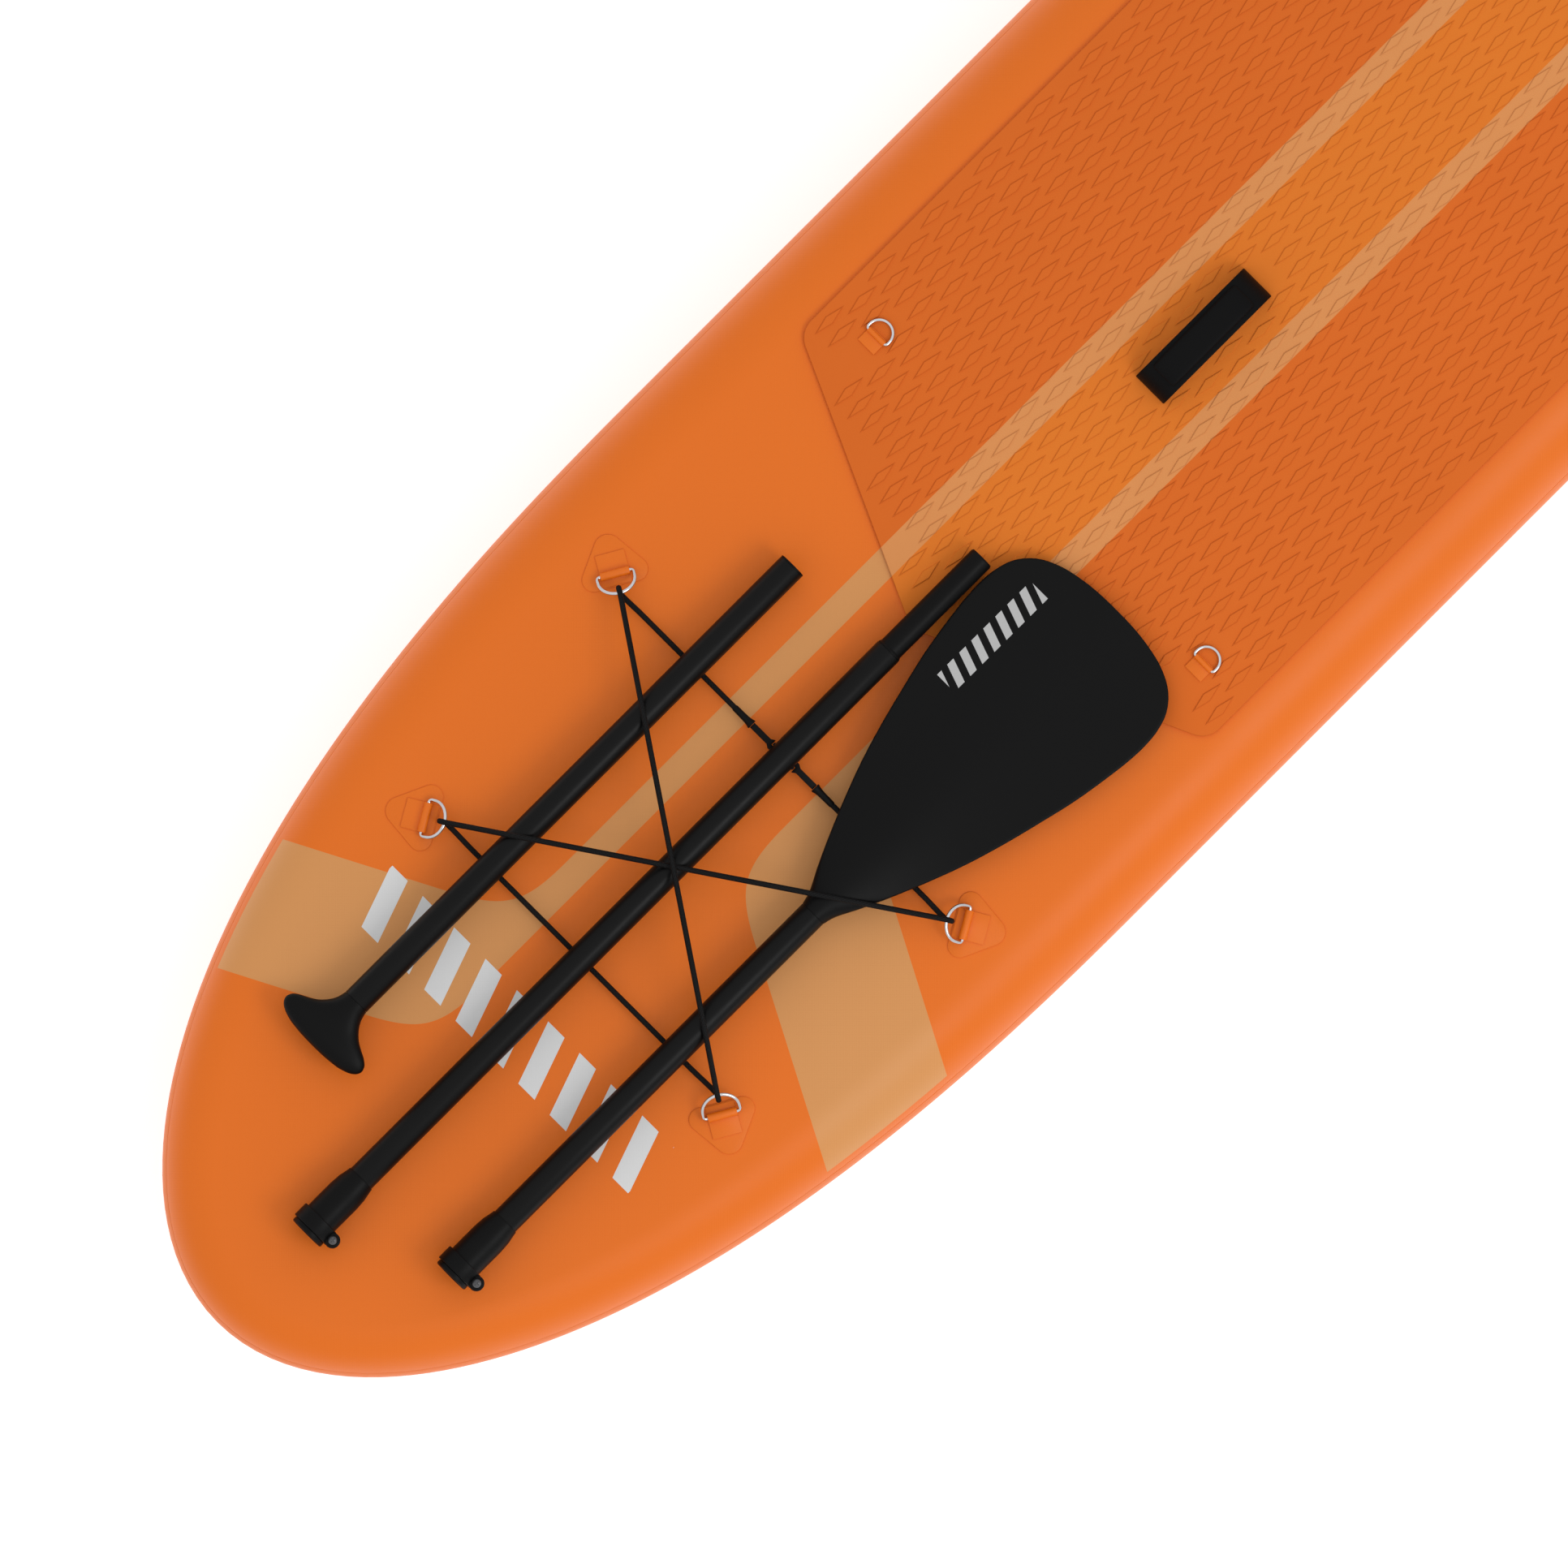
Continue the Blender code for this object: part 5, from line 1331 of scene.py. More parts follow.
def socket(name, x, mouth, bore, body, node):
    """The moulded sleeve that takes the next section: lip, clamp seat, grip, then a taper."""
    start = down_shaft(mouth)
    hold = SHAFT_RADIUS + GAP
    corners = [(0.0164, SLEEVE_LENGTH, 0.0003), (0.0169, 0.0785, 0.008),
               (0.0190, 0.0680, 0.030),
               (SLEEVE_RADIUS, 0.0560, 0.040), (SLEEVE_RADIUS, 0.0055, 0.0002),
               (0.0204, 0.0052, 0.0003), (0.0206, 0.0012, 0.0006), (0.0194, 0, 0.0004),
               (bore + 0.0006, 0, 0.0003), (bore, 0.0012, 0.0003),
               (bore, SLEEVE_DEPTH, 0.0002), (hold, SLEEVE_DEPTH, 0.0002),
               (hold, SLEEVE_LENGTH, 0.0002)]
    profile = [(r, start + y) for r, y in eased(corners, 0.0004, 4)]
    mesh = as_mesh(turned(profile, closed=True), section_axis(x) @ LENGTHWAYS)
    publish(name, mesh, moulded_plastic(), body, (node,))


def clamp_band(prefix, x, mouth, body):
    """A split band round the sleeve with a boss for its screw."""
    axis = section_axis(x)
    middle = down_shaft(mouth) + CLAMP_START + CLAMP_WIDTH / 2
    low, high = middle - CLAMP_WIDTH / 2, middle + CLAMP_WIDTH / 2
    half = BOSS_HEIGHT / 2
    band_profile = eased([(CLAMP_RADIUS, high, 0.0010), (CLAMP_RADIUS, low, 0.0010),
                          (0.0150, low, 0), (0.0150, high, 0)], 0.001, 4)
    band = as_mesh(turned(band_profile, closed=True), axis @ LENGTHWAYS)
    centre = axis @ Matrix.Translation((BOSS_OFFSET, middle, 0))
    boss_profile = eased([(0, half, 0), (0.0056, half, 0.0003), (0.0060, half - 0.0006, 0.0002),
                          (0.0068, half - 0.0006, 0.0002), (BOSS_RADIUS, half - 0.0012, 0.0006),
                          (BOSS_RADIUS, -half, 0.0008), (0, -half, 0)], 0.0004, 4, closed=False)
    boss = as_mesh(turned(boss_profile, 64), centre)
    bore = rod_mesh(SLEEVE_RADIUS + GAP, low - 0.01, high + 0.01, axis @ LENGTHWAYS, 96)
    hole = rod_mesh(SCREW_RADIUS + 0.0004, -0.02, 0.02, centre, 32)
    split = box_mesh((SLEEVE_RADIUS - 0.002, low - 0.001, -0.0008),
                     (0.040, high + 0.001, 0.0008), axis)
    mesh = combined(band, ("UNION", boss), ("DIFFERENCE", bore), ("DIFFERENCE", hole),
                    ("DIFFERENCE", split))
    publish(prefix + "_clamp_band", mesh, moulded_plastic(), body,
            (prefix + "_clamp_ring",))


def cross_head_screw(prefix, x, mouth, body):
    """The clamp's screw: a domed head with a cross recess and a threaded shank."""
    middle = down_shaft(mouth) + CLAMP_START + CLAMP_WIDTH / 2
    centre = section_axis(x) @ Matrix.Translation((BOSS_OFFSET, middle, 0))
    half = BOSS_HEIGHT / 2
    head = half + GAP
    profile = [(0, head + SCREW_HEAD_HEIGHT), (0.0012, head + 0.00275), (0.0023, head + 0.0025),
               (0.0034, head + 0.0020), (0.0042, head + 0.0013),
               (SCREW_HEAD_RADIUS, head + 0.0006), (SCREW_HEAD_RADIUS, head),
               (SCREW_RADIUS, head)]
    turns = 14
    for k in range(2 * turns + 1):
        depth = 0.0 if k % 2 else 0.0003
        profile.append((SCREW_RADIUS - depth, head - 0.003 - 0.0235 * k / (2 * turns)))
    profile.append((0, -half - 0.004))
    screw = as_mesh(turned(profile, 48), centre)
    arms = []
    for long_x, long_y in ((0.0028, 0.0006), (0.0006, 0.0028)):
        arms.append(("DIFFERENCE", box_mesh((-long_x, -long_y, head + 0.0011),
                                            (long_x, long_y, head + 0.01), centre)))
    publish(prefix + "_cross_head_screw", combined(screw, *arms), zinc_screw(), body,
            (prefix + "_clamp_screw",))


def t_grip():
    """The palm grip: a lens-shaped bar that sweeps into a neck, with a plug for the tube."""
    shape = [(0.0045, -0.0001, 0.0012), (0.012, 0.0001, 0.0028), (0.020, 0.0005, 0.0045),
             (0.028, 0.0013, 0.0062), (0.036, 0.0025, 0.0080), (0.048, 0.0065, 0.0108),
             (0.0545, 0.0115, 0.0125), (0.0567, 0.0170, 0.0130), (0.0545, 0.0235, 0.0132),
             (0.0485, 0.0285, 0.0134), (0.040, 0.0330, 0.0136), (0.031, 0.0385, 0.0140),
             (0.0235, 0.0460, 0.0146), (0.0185, 0.0540, 0.0152), (0.0160, 0.0620, 0.0155),
             (SHAFT_RADIUS, GRIP_LENGTHWISE, SHAFT_RADIUS)]
    fine = smooth_path([Vector(point) for point in shape], 0.0016)
    fine += [Vector((PLUG_RADIUS, y, PLUG_RADIUS)) for y in (GRIP_LENGTHWISE, 0.0900)]
    start = down_shaft(GRIP_TOP)
    axis = section_axis(GRIP_X)
    around = 64
    rings = []
    for wide, y, high in fine:
        ring = []
        for k in range(around):
            a = 2 * pi * k / around
            ring.append(axis @ Vector((wide * cos(a), start + y, high * sin(a))))
        rings.append(ring)
    publish("palm_grip", as_mesh(skin(rings), sharp=45), moulded_plastic(), "grip_section",
            ("t_grip",))


def end_cap():
    """The plug that closes the grip section's tube."""
    start, end = down_shaft(GRIP_CAP_START), down_shaft(GRIP_CAP_END)
    lip = down_shaft(GRIP_TUBE_END) + GAP
    profile = eased([(0, end), (SHAFT_RADIUS, end, 0.0010), (SHAFT_RADIUS, lip, 0.0001),
                     (PLUG_RADIUS, lip, 0), (PLUG_RADIUS, start, 0.0004), (0, start)], 0, 4,
                    closed=False)
    publish("grip_tube_cap", as_mesh(turned(profile), section_axis(GRIP_X) @ LENGTHWAYS),
            moulded_plastic(), "grip_section", ("grip_shaft_cap",))


def spigot():
    """The tapered end that slides into the blade section's socket."""
    start, end = down_shaft(SPIGOT_START), down_shaft(SPIGOT_END)
    shoulder = down_shaft(MIDDLE_TUBE_END) + GAP
    hollow = SPIGOT_RADIUS - 0.002
    corners = [(SPIGOT_RADIUS - 0.0010, end, 0.0006), (SPIGOT_RADIUS, end - 0.0020, 0.0010),
               (SPIGOT_RADIUS, shoulder + 0.0034, 0.0012),
               (SHAFT_RADIUS - 0.0003, shoulder + 0.0010, 0.0008),
               (SHAFT_RADIUS - 0.0003, shoulder, 0.0001), (PLUG_RADIUS, shoulder, 0),
               (PLUG_RADIUS, start, 0.0003), (hollow, start, 0.0003), (hollow, end, 0.0004)]
    mesh = as_mesh(turned(eased(corners, 0.0004, 4), closed=True),
                   section_axis(MIDDLE_X) @ LENGTHWAYS)
    publish("middle_tube_spigot", mesh, moulded_plastic(), "middle_section",
            ("middle_spigot",))


BLADE_EDGE = [(BLADE_NECK, 0.0155), (0.765, 0.0190), (0.790, 0.0315), (0.817, 0.0440),
              (0.860, 0.0620), (0.903, 0.0780), (0.946, 0.0910), (0.989, 0.1020),
              (1.032, 0.1120), (1.075, 0.1190), (1.105, 0.1225), (1.128, 0.1232),
              (1.148, 0.1210), (1.168, 0.1140), (1.186, 0.0980), (1.198, 0.0740),
              (1.2045, 0.0440), (1.2066, 0.0200), (1.2069, 0.0)]


def blade():
    """The blade: a round neck that flattens into a thin plate with a soft spine."""
    neck, tip = BLADE_EDGE[0][0], BLADE_EDGE[-1][0]
    edge = smooth_path([Vector((wide, s, 0)) for s, wide in BLADE_EDGE], 0.0045)
    axis = section_axis(BLADE_X)
    across = 96
    rings = []
    for wide, s, _ in edge[:-1]:
        part = (s - neck) / (tip - neck)
        spine = min(SHAFT_RADIUS, SHAFT_RADIUS * (1 - part) ** 2.8 + 0.0024)
        flat = min(1.0, max(0.0, (s - neck) / 0.09))
        flat = flat * flat * (3 - 2 * flat)
        rim = SHAFT_RADIUS * 0.25 * (1 - flat) + 0.0015 * flat
        ring = []
        for k in range(across):
            a = 2 * pi * k / across
            side, up = cos(a), sin(a)
            off = side * wide / 0.034
            crown = 0.6 * exp(-off * off / 2) + 0.4 * (1 - side * side)
            crown = rim + (spine - rim) * crown
            thin = crown * (1 if up > 0 else -1) * min(1.0, (abs(up) * 5)) ** 0.6
            height = spine * up * (1 - flat) + thin * flat
            ring.append(axis @ Vector((wide * side, down_shaft(s), height)))
        rings.append(ring)
    circle = arc((0, 0), PLUG_RADIUS, 0, 2 * pi, across)[:-1]
    stub = [[axis @ Vector((x, down_shaft(s), z)) for x, z in circle] for s in (neck - 0.030, neck)]
    publish("paddle_blade_plate", as_mesh(skin(stub + rings), sharp=50), blade_plastic(),
            "blade_section", ("paddle_blade",))


# ---- Carry handle -------------------------------------------------------------------------------


def handle_line(y):
    """The arch's height over the pad."""
    part = min(1.0, abs(y) / (HANDLE_LENGTH / 2))
    return HANDLE_HEIGHT * (1 - part ** 5) ** (1 / 2.4)


def arched(length, section, lift, steps):
    """A strip along the handle's arch. section holds (across, up) points for a part 0 to 1."""
    base = deck_z(HANDLE_S) + PAD_THICKNESS
    path = []
    for k in range(steps + 1):
        y = -cos(pi * k / steps) * length / 2
        path.append(Vector((0, along(HANDLE_S) + y, base + handle_line(y))))
    rings = []
    for k, point in enumerate(path):
        way = (path[min(k + 1, steps)] - path[max(k - 1, 0)]).normalized()
        up = Vector((1, 0, 0)).cross(way)
        outline = section(k / steps)
        rings.append([point + Vector((a, 0, 0)) + up * (b + lift) for a, b in outline])
    return rings


def strap_section(width, thickness):
    """A strap cut across, with its corners rounded."""
    corners = [(width / 2, thickness / 2), (-width / 2, thickness / 2),
               (-width / 2, -thickness / 2), (width / 2, -thickness / 2)]
    return eased(corners, thickness * 0.45, 3)


def round_lengths(outline):
    """How far round a closed outline each of its points is."""
    return running_lengths([*outline, outline[0]])


def handle():
    """A webbing strap arched over the pad and a stitched, padded grip on it."""
    outline = strap_section(HANDLE_WIDTH, HANDLE_STRAP)
    rings = arched(HANDLE_LENGTH, lambda part: outline, 0.0005 - HANDLE_STRAP / 2, 72)
    strap = skin(rings, girth=round_lengths(outline))
    publish("carry_handle_strap", as_mesh(strap, sharp=60), black_webbing(),
            "board", ("handle_strap",))

    def cushion(part):
        """Full in the middle of the grip, rounded off at its four sides."""
        end = min(1.0, sin(pi * part) ** 0.35 + 0.02)
        wide = GRIP_WIDTH / 2 * (0.86 + 0.14 * min(1.0, end * 1.1))
        points = []
        for k in range(40):
            a = 2 * pi * k / 40
            side, up = cos(a), sin(a)
            x = wide * abs(side) ** 0.32 * (1 if side > 0 else -1)
            if up < 0:
                points.append((x, -0.0002 * min(1.0, abs(up) * 4)))
                continue
            rim = GRIP_RIM * min(1.0, up * 5)
            dome = (GRIP_THICKNESS - GRIP_RIM) * max(0.0, (up - 0.42) / 0.58) ** 0.42
            points.append((x, rim + dome * end))
        return points

    rings = arched(GRIP_LENGTH, cushion, GRIP_LIFT + GAP, 64)
    grip = as_mesh(skin(rings, girth=round_lengths(cushion(0.5))), sharp=70)
    grip = publish("carry_handle_grip", grip, black_webbing(), "board",
                   ("handle_grip",))
    base = deck_z(HANDLE_S) + PAD_THICKNESS + GRIP_LIFT + GAP + GRIP_RIM
    rows = [[(x, SEWN_ALONG * (k / 20 - 1)) for k in range(41)]
            for x in (-SEWN_ACROSS, SEWN_ACROSS)]
    rows += [[(SEWN_ACROSS * (k / 4 - 1), y) for k in range(9)]
             for y in (-SEWN_ALONG, SEWN_ALONG)]
    lines = [[(x, along(HANDLE_S) + y, base + handle_line(y)) for x, y in row] for row in rows]
    stitches("carry_handle_stitches", lines, sewing_thread_black(), "board")


# ---- Valve --------------------------------------------------------------------------------------


def valve_parts():
    """A finer valve body, cap and hinge; the plunger and spring keep their own shapes."""
    holder = standing(0, VALVE_S, deck_z, GAP)
    r = VALVE_RADIUS
    corners = [(r - 0.003, 0.003, 0.0006), (0.030, 0.0024, 0.0008), (0.0315, 0.0010, 0.0006),
               (0.0315, 0, 0.0001), (r, 0, 0.0001), (r, -0.030, 0.001), (0.0032, -0.030, 0.0003),
               (0.0032, -0.0265, 0.0003), (r - 0.003, -0.0265, 0.0008)]
    body = as_mesh(turned(eased(corners, 0.0004, 3), 96, closed=True), holder)
    steps = []
    for x, y in arc((0, 0), 0.0125, 0, 2 * pi, 6)[:-1]:
        spot = holder @ Matrix.Translation((x, y, 0))
        steps.append(("DIFFERENCE", rod_mesh(0.0036, -0.034, -0.022, spot, 24)))
    hinge_y, hinge_z = 0.0345, 0.0052
    for side in (-1, 1):
        low, high = sorted((side * 0.0049, side * 0.0078))
        ear = bevelled(box_mesh((low, 0.0290, 0.0003), (high, 0.0372, 0.0078), holder), 0.0007)
        steps.append(("UNION", ear))
    across = holder @ Matrix.Translation((0, hinge_y, hinge_z)) @ Matrix.Rotation(pi / 2, 4, "Y")
    steps.append(("DIFFERENCE", rod_mesh(0.0013, -0.0074, 0.0074, across, 24)))
    publish("valve_cup", combined(body, *steps), moulded_plastic(), "board",
            ("valve_body",))
    under = 0.003 + GAP
    lid = eased([(0, 0.0075), (0.0100, 0.0075, 0.0004), (0.0110, 0.0070, 0.0004),
                 (0.0220, 0.0070, 0.0006), (0.026, 0.0072, 0.0006), (0.0285, 0.0055, 0.0012),
                 (0.0285, under, 0.0004), (0.0200, under, 0.0002), (0.0200, -0.001, 0.0003),
                 (0.0180, -0.001, 0.0003), (0.0180, under + 0.001, 0.0002),
                 (0, under + 0.001)], 0.0004, 3, closed=False)
    cap = as_mesh(turned(lid, 96), holder)
    arm = bevelled(box_mesh((-0.0045, hinge_y - 0.0100, hinge_z - 0.0012),
                            (0.0045, hinge_y, hinge_z + 0.0016), holder), 0.0003)
    barrel = rod_mesh(0.0026, -0.0045, 0.0045, across, 32)
    eye = rod_mesh(0.0013, -0.01, 0.01, across, 24)
    ribs = [("DIFFERENCE", rod_mesh(0.0009, -0.001, 0.010, holder @ Matrix.Translation(
        (0.0291 * cos(a), 0.0291 * sin(a), 0)), 10))
        for a in [2 * pi * k / 28 + pi / 28 for k in range(28)] if not 1.25 < a < 1.9]
    mesh = combined(cap, ("UNION", arm), ("UNION", barrel), ("DIFFERENCE", eye), *ribs)
    publish("valve_flip_cap", mesh, moulded_plastic(), "valve_cap",
            ("valve_cap",))


# ---- Fins ---------------------------------------------------------------------------------------


def foil(root, depth, rake, thickness, top, matrix):
    """A raked fin from z = top down by depth: chords shrink towards a rounded tip."""
    levels = around = 40
    rings = []
    for j in range(levels + 1):
        part = sin(pi / 2 * j / levels) ** 1.2
        chord = root * (1 - 0.62 * part ** 1.3) * sqrt(max(0.0009, 1 - part ** 5))
        thick = thickness * (1 - 0.65 * part) * min(1.0, sqrt(max(0.02, 1 - part ** 12)))
        start = -root / 2 + rake * part ** 1.25
        ring = []
        for k in range(around):
            a = 2 * pi * k / around
            y = start + chord * (1 - cos(a)) / 2
            x = thick / 2 * sin(a) * (1 + 0.35 * cos(a))
            ring.append(matrix @ Vector((x, y, top - depth * part)))
        rings.append(ring)
    return as_mesh(skin(rings), sharp=60)


def to_floor(z, tilt, root, rake):
    """How far below its tilted frame at height z a fin's tip reaches the floor."""
    return (z + (rake - root / 2) * sin(tilt)) / cos(tilt)


def centre_fin():
    """The fin that slides in the box: blade, tab, and an ear for its screw."""
    holder = standing(0, FIN_BOX_S, bottom_z, -GAP)
    depth = to_floor(bottom_z(FIN_BOX_S) - GAP, tilt(bottom_z, FIN_BOX_S), FIN_ROOT, FIN_RAKE)
    blade_mesh = foil(FIN_ROOT, depth + FIN_TOP, FIN_RAKE, 0.0085, FIN_TOP, holder)
    tab = bevelled(box_mesh((-0.0040, -0.078, -0.034), (0.0040, 0.060, -0.0070), holder), 0.0008)
    ear = bevelled(box_mesh((-0.0040, 0.055, -0.0265), (0.0040, 0.085, -0.0165), holder), 0.0008)
    cross = (holder @ Matrix.Translation((0, -0.066, -0.0120)) @ Matrix.Rotation(pi / 2, 4, "Y"))
    pin_hole = rod_mesh(0.0029, -0.02, 0.02, cross, 24)
    screw_hole = rod_mesh(0.0024, -0.05, 0.0,
                          holder @ Matrix.Translation((0, FIN_SCREW_Y, 0)), 24)
    mesh = combined(blade_mesh, ("UNION", tab), ("UNION", ear), ("DIFFERENCE", pin_hole),
                    ("DIFFERENCE", screw_hole))
    publish("centre_fin_blade", mesh, fin_nylon(), "centre_fin", ("centre_fin",))


def side_fins():
    """The two smaller fins, each on a glued foot."""
    z = bottom_z(SIDE_FIN_S) - GAP
    lean = tilt(bottom_z, SIDE_FIN_S)
    depth = to_floor(z, lean, SIDE_FIN_ROOT, SIDE_FIN_RAKE)
    for word, side in (("left", 1), ("right", -1)):
        stand = (Matrix.Translation((side * SIDE_FIN_X, along(SIDE_FIN_S), z))
                 @ Matrix.Rotation(side * SIDE_FIN_TOE, 4, "Z") @ Matrix.Rotation(lean, 4, "X"))
        foot = bevelled(box_mesh((-0.014, -0.070, -0.003), (0.014, 0.075, 0), stand), 0.0012, 3)
        side_blade = foil(SIDE_FIN_ROOT, depth - 0.001, SIDE_FIN_RAKE, 0.0065, -0.001, stand)
        publish(f"side_fin_{word}_moulding", combined(foot, ("UNION", side_blade)), fin_nylon(),
                "board", (f"side_fin_{word}",))


# ---- Frame parts that keep their shape ----------------------------------------------------------


def dress_frame():
    """Finishes for the small parts that are shown as the frame has them."""
    finishes = {
        "drop_stitch_core": thread_wall, "valve_plunger": moulded_plastic,
        "valve_spring": polished_steel, "valve_hinge_pin": polished_steel,
        "fin_box": moulded_plastic, "fin_roller_pin": polished_steel,
        "fin_plate": zinc_screw, "fin_screw": zinc_screw}
    for node, finish in finishes.items():
        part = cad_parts[node]
        part.data.materials.clear()
        part.data.materials.append(finish())


# ---- Stage --------------------------------------------------------------------------------------

LENS, SENSOR = 1500.0, 36.0
FIELD = 1.6615                 # the width of deck that the camera takes in
VIEW_CENTRE = (0.0212, -0.6975)
KEY_PLACE, KEY_AIM, KEY_SIDE, KEY_POWER = (2.5, -0.2, 3.3), (0, -0.7, 0.27), 1.6, 31.0
WORLD_LEVEL, WORLD_OVERHEAD = 0.63, 0.90
FLOOR_REACH, FLOOR_TONE, FLOOR_GLOW = 60.0, 0.80, 0.56


def camera():
    """A long lens straight over the deck, turned so that the nose points to a lower corner."""
    data = bpy.data.cameras.new("camera")
    data.lens = LENS
    data.sensor_width = SENSOR
    data.clip_start = 0.5
    data.clip_end = 500.0
    made = bpy.data.objects.new("camera", data)
    bpy.context.scene.collection.objects.link(made)
    away = FIELD / 2 / (SENSOR / 2 / LENS)
    made.location = (*VIEW_CENTRE, DECK_Z + away)
    made.rotation_euler = (0, 0, pi / 4)
    bpy.context.scene.camera = made


def softbox():
    """One large square lamp on the rider's left."""
    data = bpy.data.lights.new("key", "AREA")
    data.shape = "SQUARE"
    data.size = KEY_SIDE
    data.energy = KEY_POWER
    made = bpy.data.objects.new("key", data)
    made.location = KEY_PLACE
    made.rotation_euler = (Vector(KEY_AIM) - Vector(KEY_PLACE)).to_track_quat("-Z", "Y").to_euler()
    bpy.context.scene.collection.objects.link(made)


def studio_world():
    """A pale room, a little brighter overhead."""
    world = bpy.data.worlds.new("studio")
    world.use_nodes = True
    tree = world.node_tree
    ground = tree.nodes["Background"]
    where = tree.nodes.new("ShaderNodeTexCoord")
    parts = tree.nodes.new("ShaderNodeSeparateXYZ")
    fall = tree.nodes.new("ShaderNodeMapRange")
    fall.inputs["To Min"].default_value = WORLD_LEVEL
    fall.inputs["To Max"].default_value = WORLD_OVERHEAD
    tree.links.new(where.outputs["Generated"], parts.inputs[0])
    tree.links.new(parts.outputs[2], fall.inputs["Value"])
    tree.links.new(fall.outputs[0], ground.inputs["Strength"])
    ground.inputs["Color"].default_value = (1.0, 1.0, 1.0, 1.0)
    bpy.context.scene.world = world


def floor():
    """A wide pale floor that glows a little, so that it stays evenly light."""
    bm = bmesh.new()
    bmesh.ops.create_grid(bm, x_segments=1, y_segments=1, size=FLOOR_REACH)
    mesh = bpy.data.meshes.new("floor")
    bm.to_mesh(mesh)
    bm.free()
    material = bpy.data.materials.new("pale_floor")
    material.use_nodes = True
    shader = material.node_tree.nodes["Principled BSDF"]
    shader.inputs["Base Color"].default_value = (FLOOR_TONE, FLOOR_TONE, FLOOR_TONE, 1)
    shader.inputs["Roughness"].default_value = 0.9
    shader.inputs["Specular IOR Level"].default_value = 0.0
    shader.inputs["Emission Color"].default_value = (1, 1, 1, 1)
    shader.inputs["Emission Strength"].default_value = FLOOR_GLOW
    mesh.materials.append(material)
    loose(mesh, "floor")


# ---- Operators ----------------------------------------------------------------------------------


class PADDLEBOARD_OT_stage(bpy.types.Operator):
    """Camera, pale floor, studio world and one large softbox"""
    bl_idname = "paddleboard.stage"
    bl_label = "Stage"
    bl_options = {"REGISTER", "UNDO"}

    def execute(self, context):
        bpy.context.scene.view_settings.view_transform = "Standard"
        camera()
        studio_world()
        floor()
        softbox()
        return {"FINISHED"}


class PADDLEBOARD_OT_hull(bpy.types.Operator):
    """The coated fabric skin and its seam tape"""
    bl_idname = "paddleboard.hull"
    bl_label = "Hull"
    bl_options = {"REGISTER", "UNDO"}

    def execute(self, context):
        hull_skin()
        seam_tape()
        return {"FINISHED"}


class PADDLEBOARD_OT_pad(bpy.types.Operator):
    """The foam deck pad and its raised diamonds"""
    bl_idname = "paddleboard.pad"
    bl_label = "Deck pad"
    bl_options = {"REGISTER", "UNDO"}

    def execute(self, context):
        deck_pad()
        pad_diamonds()
        return {"FINISHED"}


class PADDLEBOARD_OT_bungee(bpy.types.Operator):
    """Four anchors with their rings, and the crossed shock cord"""
    bl_idname = "paddleboard.bungee"
    bl_label = "Anchors and bungee"
    bl_options = {"REGISTER", "UNDO"}

    def execute(self, context):
        bungee({word: bungee_anchor(word, *place) for word, place in anchor_rings().items()})
        return {"FINISHED"}


class PADDLEBOARD_OT_grip_section(bpy.types.Operator):
    """The paddle's top section: palm grip, tube and end cap"""
    bl_idname = "paddleboard.grip_section"
    bl_label = "Grip section"
    bl_options = {"REGISTER", "UNDO"}

    def execute(self, context):
        t_grip()
        shaft_tube("grip_tube", GRIP_X, GRIP_TOP + GRIP_LENGTHWISE + GAP, GRIP_TUBE_END,
                   "grip_section", "grip_shaft")
        end_cap()
        return {"FINISHED"}


class PADDLEBOARD_OT_middle_section(bpy.types.Operator):
    """The paddle's middle section: socket, clamp, screw, tube and spigot"""
    bl_idname = "paddleboard.middle_section"
    bl_label = "Middle section"
    bl_options = {"REGISTER", "UNDO"}

    def execute(self, context):
        socket("middle_sleeve", MIDDLE_X, MIDDLE_MOUTH, SLEEVE_BORE, "middle_section",
               "middle_socket")
        clamp_band("middle", MIDDLE_X, MIDDLE_MOUTH, "middle_section")
        cross_head_screw("middle", MIDDLE_X, MIDDLE_MOUTH, "middle_screw")
        shaft_tube("middle_tube", MIDDLE_X, MIDDLE_MOUTH + TUBE_SEAT, MIDDLE_TUBE_END,
                   "middle_section", "middle_shaft")
        spigot()
        return {"FINISHED"}


class PADDLEBOARD_OT_blade_section(bpy.types.Operator):
    """The paddle's lowest section: socket, clamp, screw, tube and blade"""
    bl_idname = "paddleboard.blade_section"
    bl_label = "Blade section"
    bl_options = {"REGISTER", "UNDO"}

    def execute(self, context):
        socket("blade_sleeve", BLADE_X, BLADE_MOUTH, SPIGOT_RADIUS + GAP, "blade_section",
               "blade_socket")
        clamp_band("blade", BLADE_X, BLADE_MOUTH, "blade_section")
        cross_head_screw("blade", BLADE_X, BLADE_MOUTH, "blade_screw")
        shaft_tube("blade_tube", BLADE_X, BLADE_MOUTH + TUBE_SEAT, BLADE_NECK - GAP,
                   "blade_section", "blade_shaft")
        blade()
        return {"FINISHED"}


class PADDLEBOARD_OT_handle(bpy.types.Operator):
    """The carry handle's strap, padded grip and stitching"""
    bl_idname = "paddleboard.handle"
    bl_label = "Carry handle"
    bl_options = {"REGISTER", "UNDO"}

    def execute(self, context):
        handle()
        return {"FINISHED"}


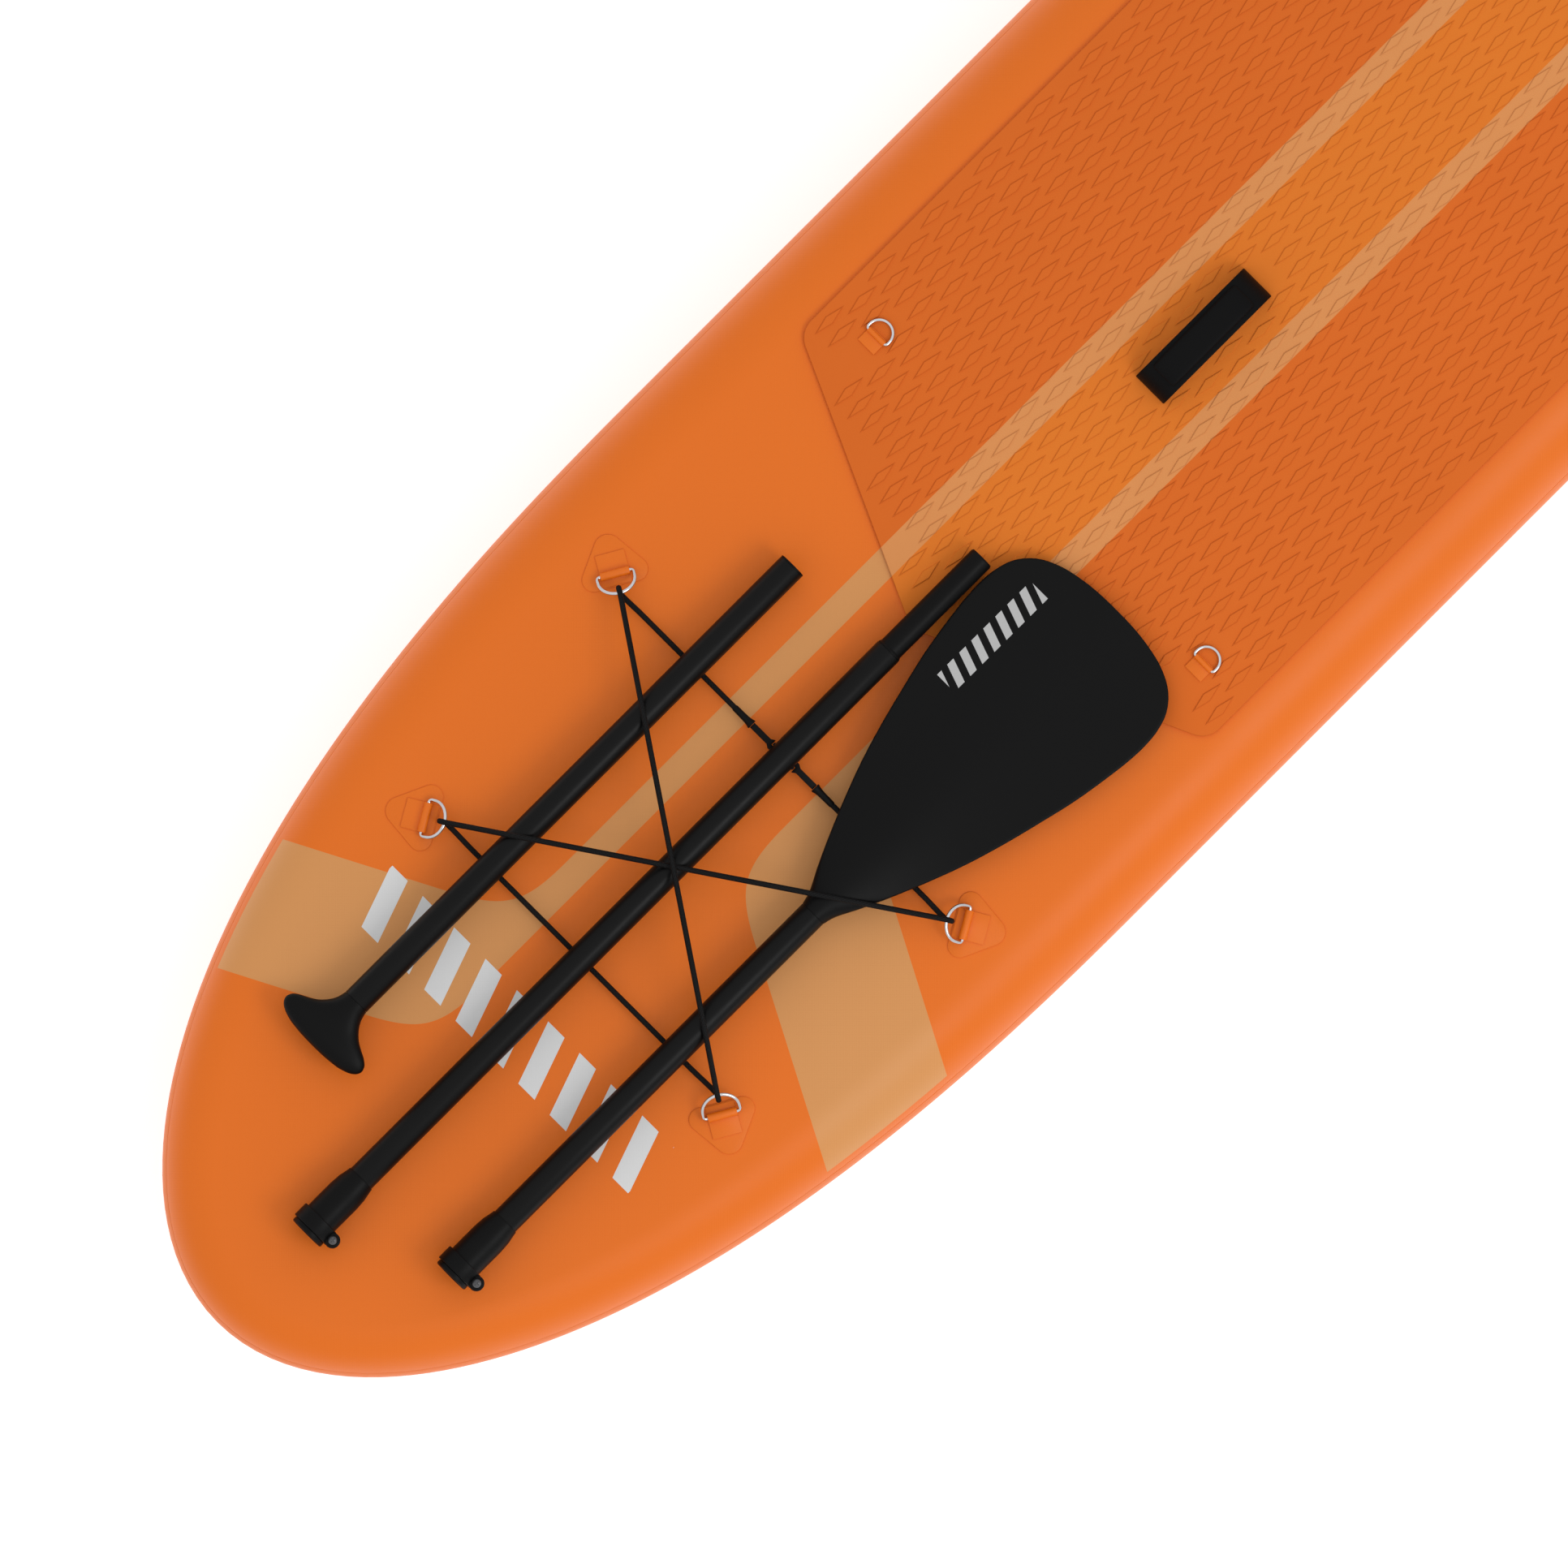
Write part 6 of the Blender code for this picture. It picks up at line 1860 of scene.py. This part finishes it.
class PADDLEBOARD_OT_rings(bpy.types.Operator):
    """Four seat rings and the leash ring, each with its strap"""
    bl_idname = "paddleboard.rings"
    bl_label = "Seat and leash rings"
    bl_options = {"REGISTER", "UNDO"}

    def execute(self, context):
        for word, side in (("left", 1), ("right", -1)):
            seat_ring(f"front_{word}", side * SEAT_RING_X, SEAT_RING_FRONT, 1)
            seat_ring(f"rear_{word}", side * SEAT_RING_X, SEAT_RING_REAR, -1)
        leash_point()
        return {"FINISHED"}


class PADDLEBOARD_OT_valve(bpy.types.Operator):
    """The inflation valve's cup and flip cap"""
    bl_idname = "paddleboard.valve"
    bl_label = "Valve"
    bl_options = {"REGISTER", "UNDO"}

    def execute(self, context):
        valve_parts()
        return {"FINISHED"}


class PADDLEBOARD_OT_fins(bpy.types.Operator):
    """Centre fin and side fins"""
    bl_idname = "paddleboard.fins"
    bl_label = "Fins"
    bl_options = {"REGISTER", "UNDO"}

    def execute(self, context):
        centre_fin()
        side_fins()
        return {"FINISHED"}


class PADDLEBOARD_OT_frame(bpy.types.Operator):
    """Finishes for the parts shown as the frame has them"""
    bl_idname = "paddleboard.frame"
    bl_label = "Frame parts"
    bl_options = {"REGISTER", "UNDO"}

    def execute(self, context):
        dress_frame()
        return {"FINISHED"}


OPERATORS = (PADDLEBOARD_OT_stage, PADDLEBOARD_OT_hull, PADDLEBOARD_OT_pad,
             PADDLEBOARD_OT_bungee, PADDLEBOARD_OT_grip_section, PADDLEBOARD_OT_middle_section,
             PADDLEBOARD_OT_blade_section, PADDLEBOARD_OT_handle, PADDLEBOARD_OT_rings,
             PADDLEBOARD_OT_valve, PADDLEBOARD_OT_fins, PADDLEBOARD_OT_frame)


class PADDLEBOARD_PT_panel(bpy.types.Panel):
    """Every piece's operator and its settings"""
    bl_label = "Paddleboard"
    bl_idname = "PADDLEBOARD_PT_panel"
    bl_space_type = "VIEW_3D"
    bl_region_type = "UI"
    bl_category = "Paddleboard"

    def draw(self, context):
        for group in ("hull", "pad", "webbing", "paddle"):
            box = self.layout.box()
            part = getattr(context.scene.paddleboard, group)
            for name in part.bl_rna.properties.keys():
                if name not in {"rna_type", "name"}:
                    box.prop(part, name)
        for operator in OPERATORS:
            self.layout.operator(operator.bl_idname)


CLASSES = (HullSettings, PadSettings, WebbingSettings, PaddleSettings, PaddleboardSettings,
           *OPERATORS, PADDLEBOARD_PT_panel)


def register():
    for one in CLASSES:
        bpy.utils.register_class(one)
    bpy.types.Scene.paddleboard = PointerProperty(type=PaddleboardSettings)


def unregister():
    del bpy.types.Scene.paddleboard
    for one in reversed(CLASSES):
        bpy.utils.unregister_class(one)


def main():
    """Makes every piece in order."""
    register()
    for operator in OPERATORS:
        group, name = operator.bl_idname.split(".")
        getattr(getattr(bpy.ops, group), name)()


if __name__ == "__main__":
    main()
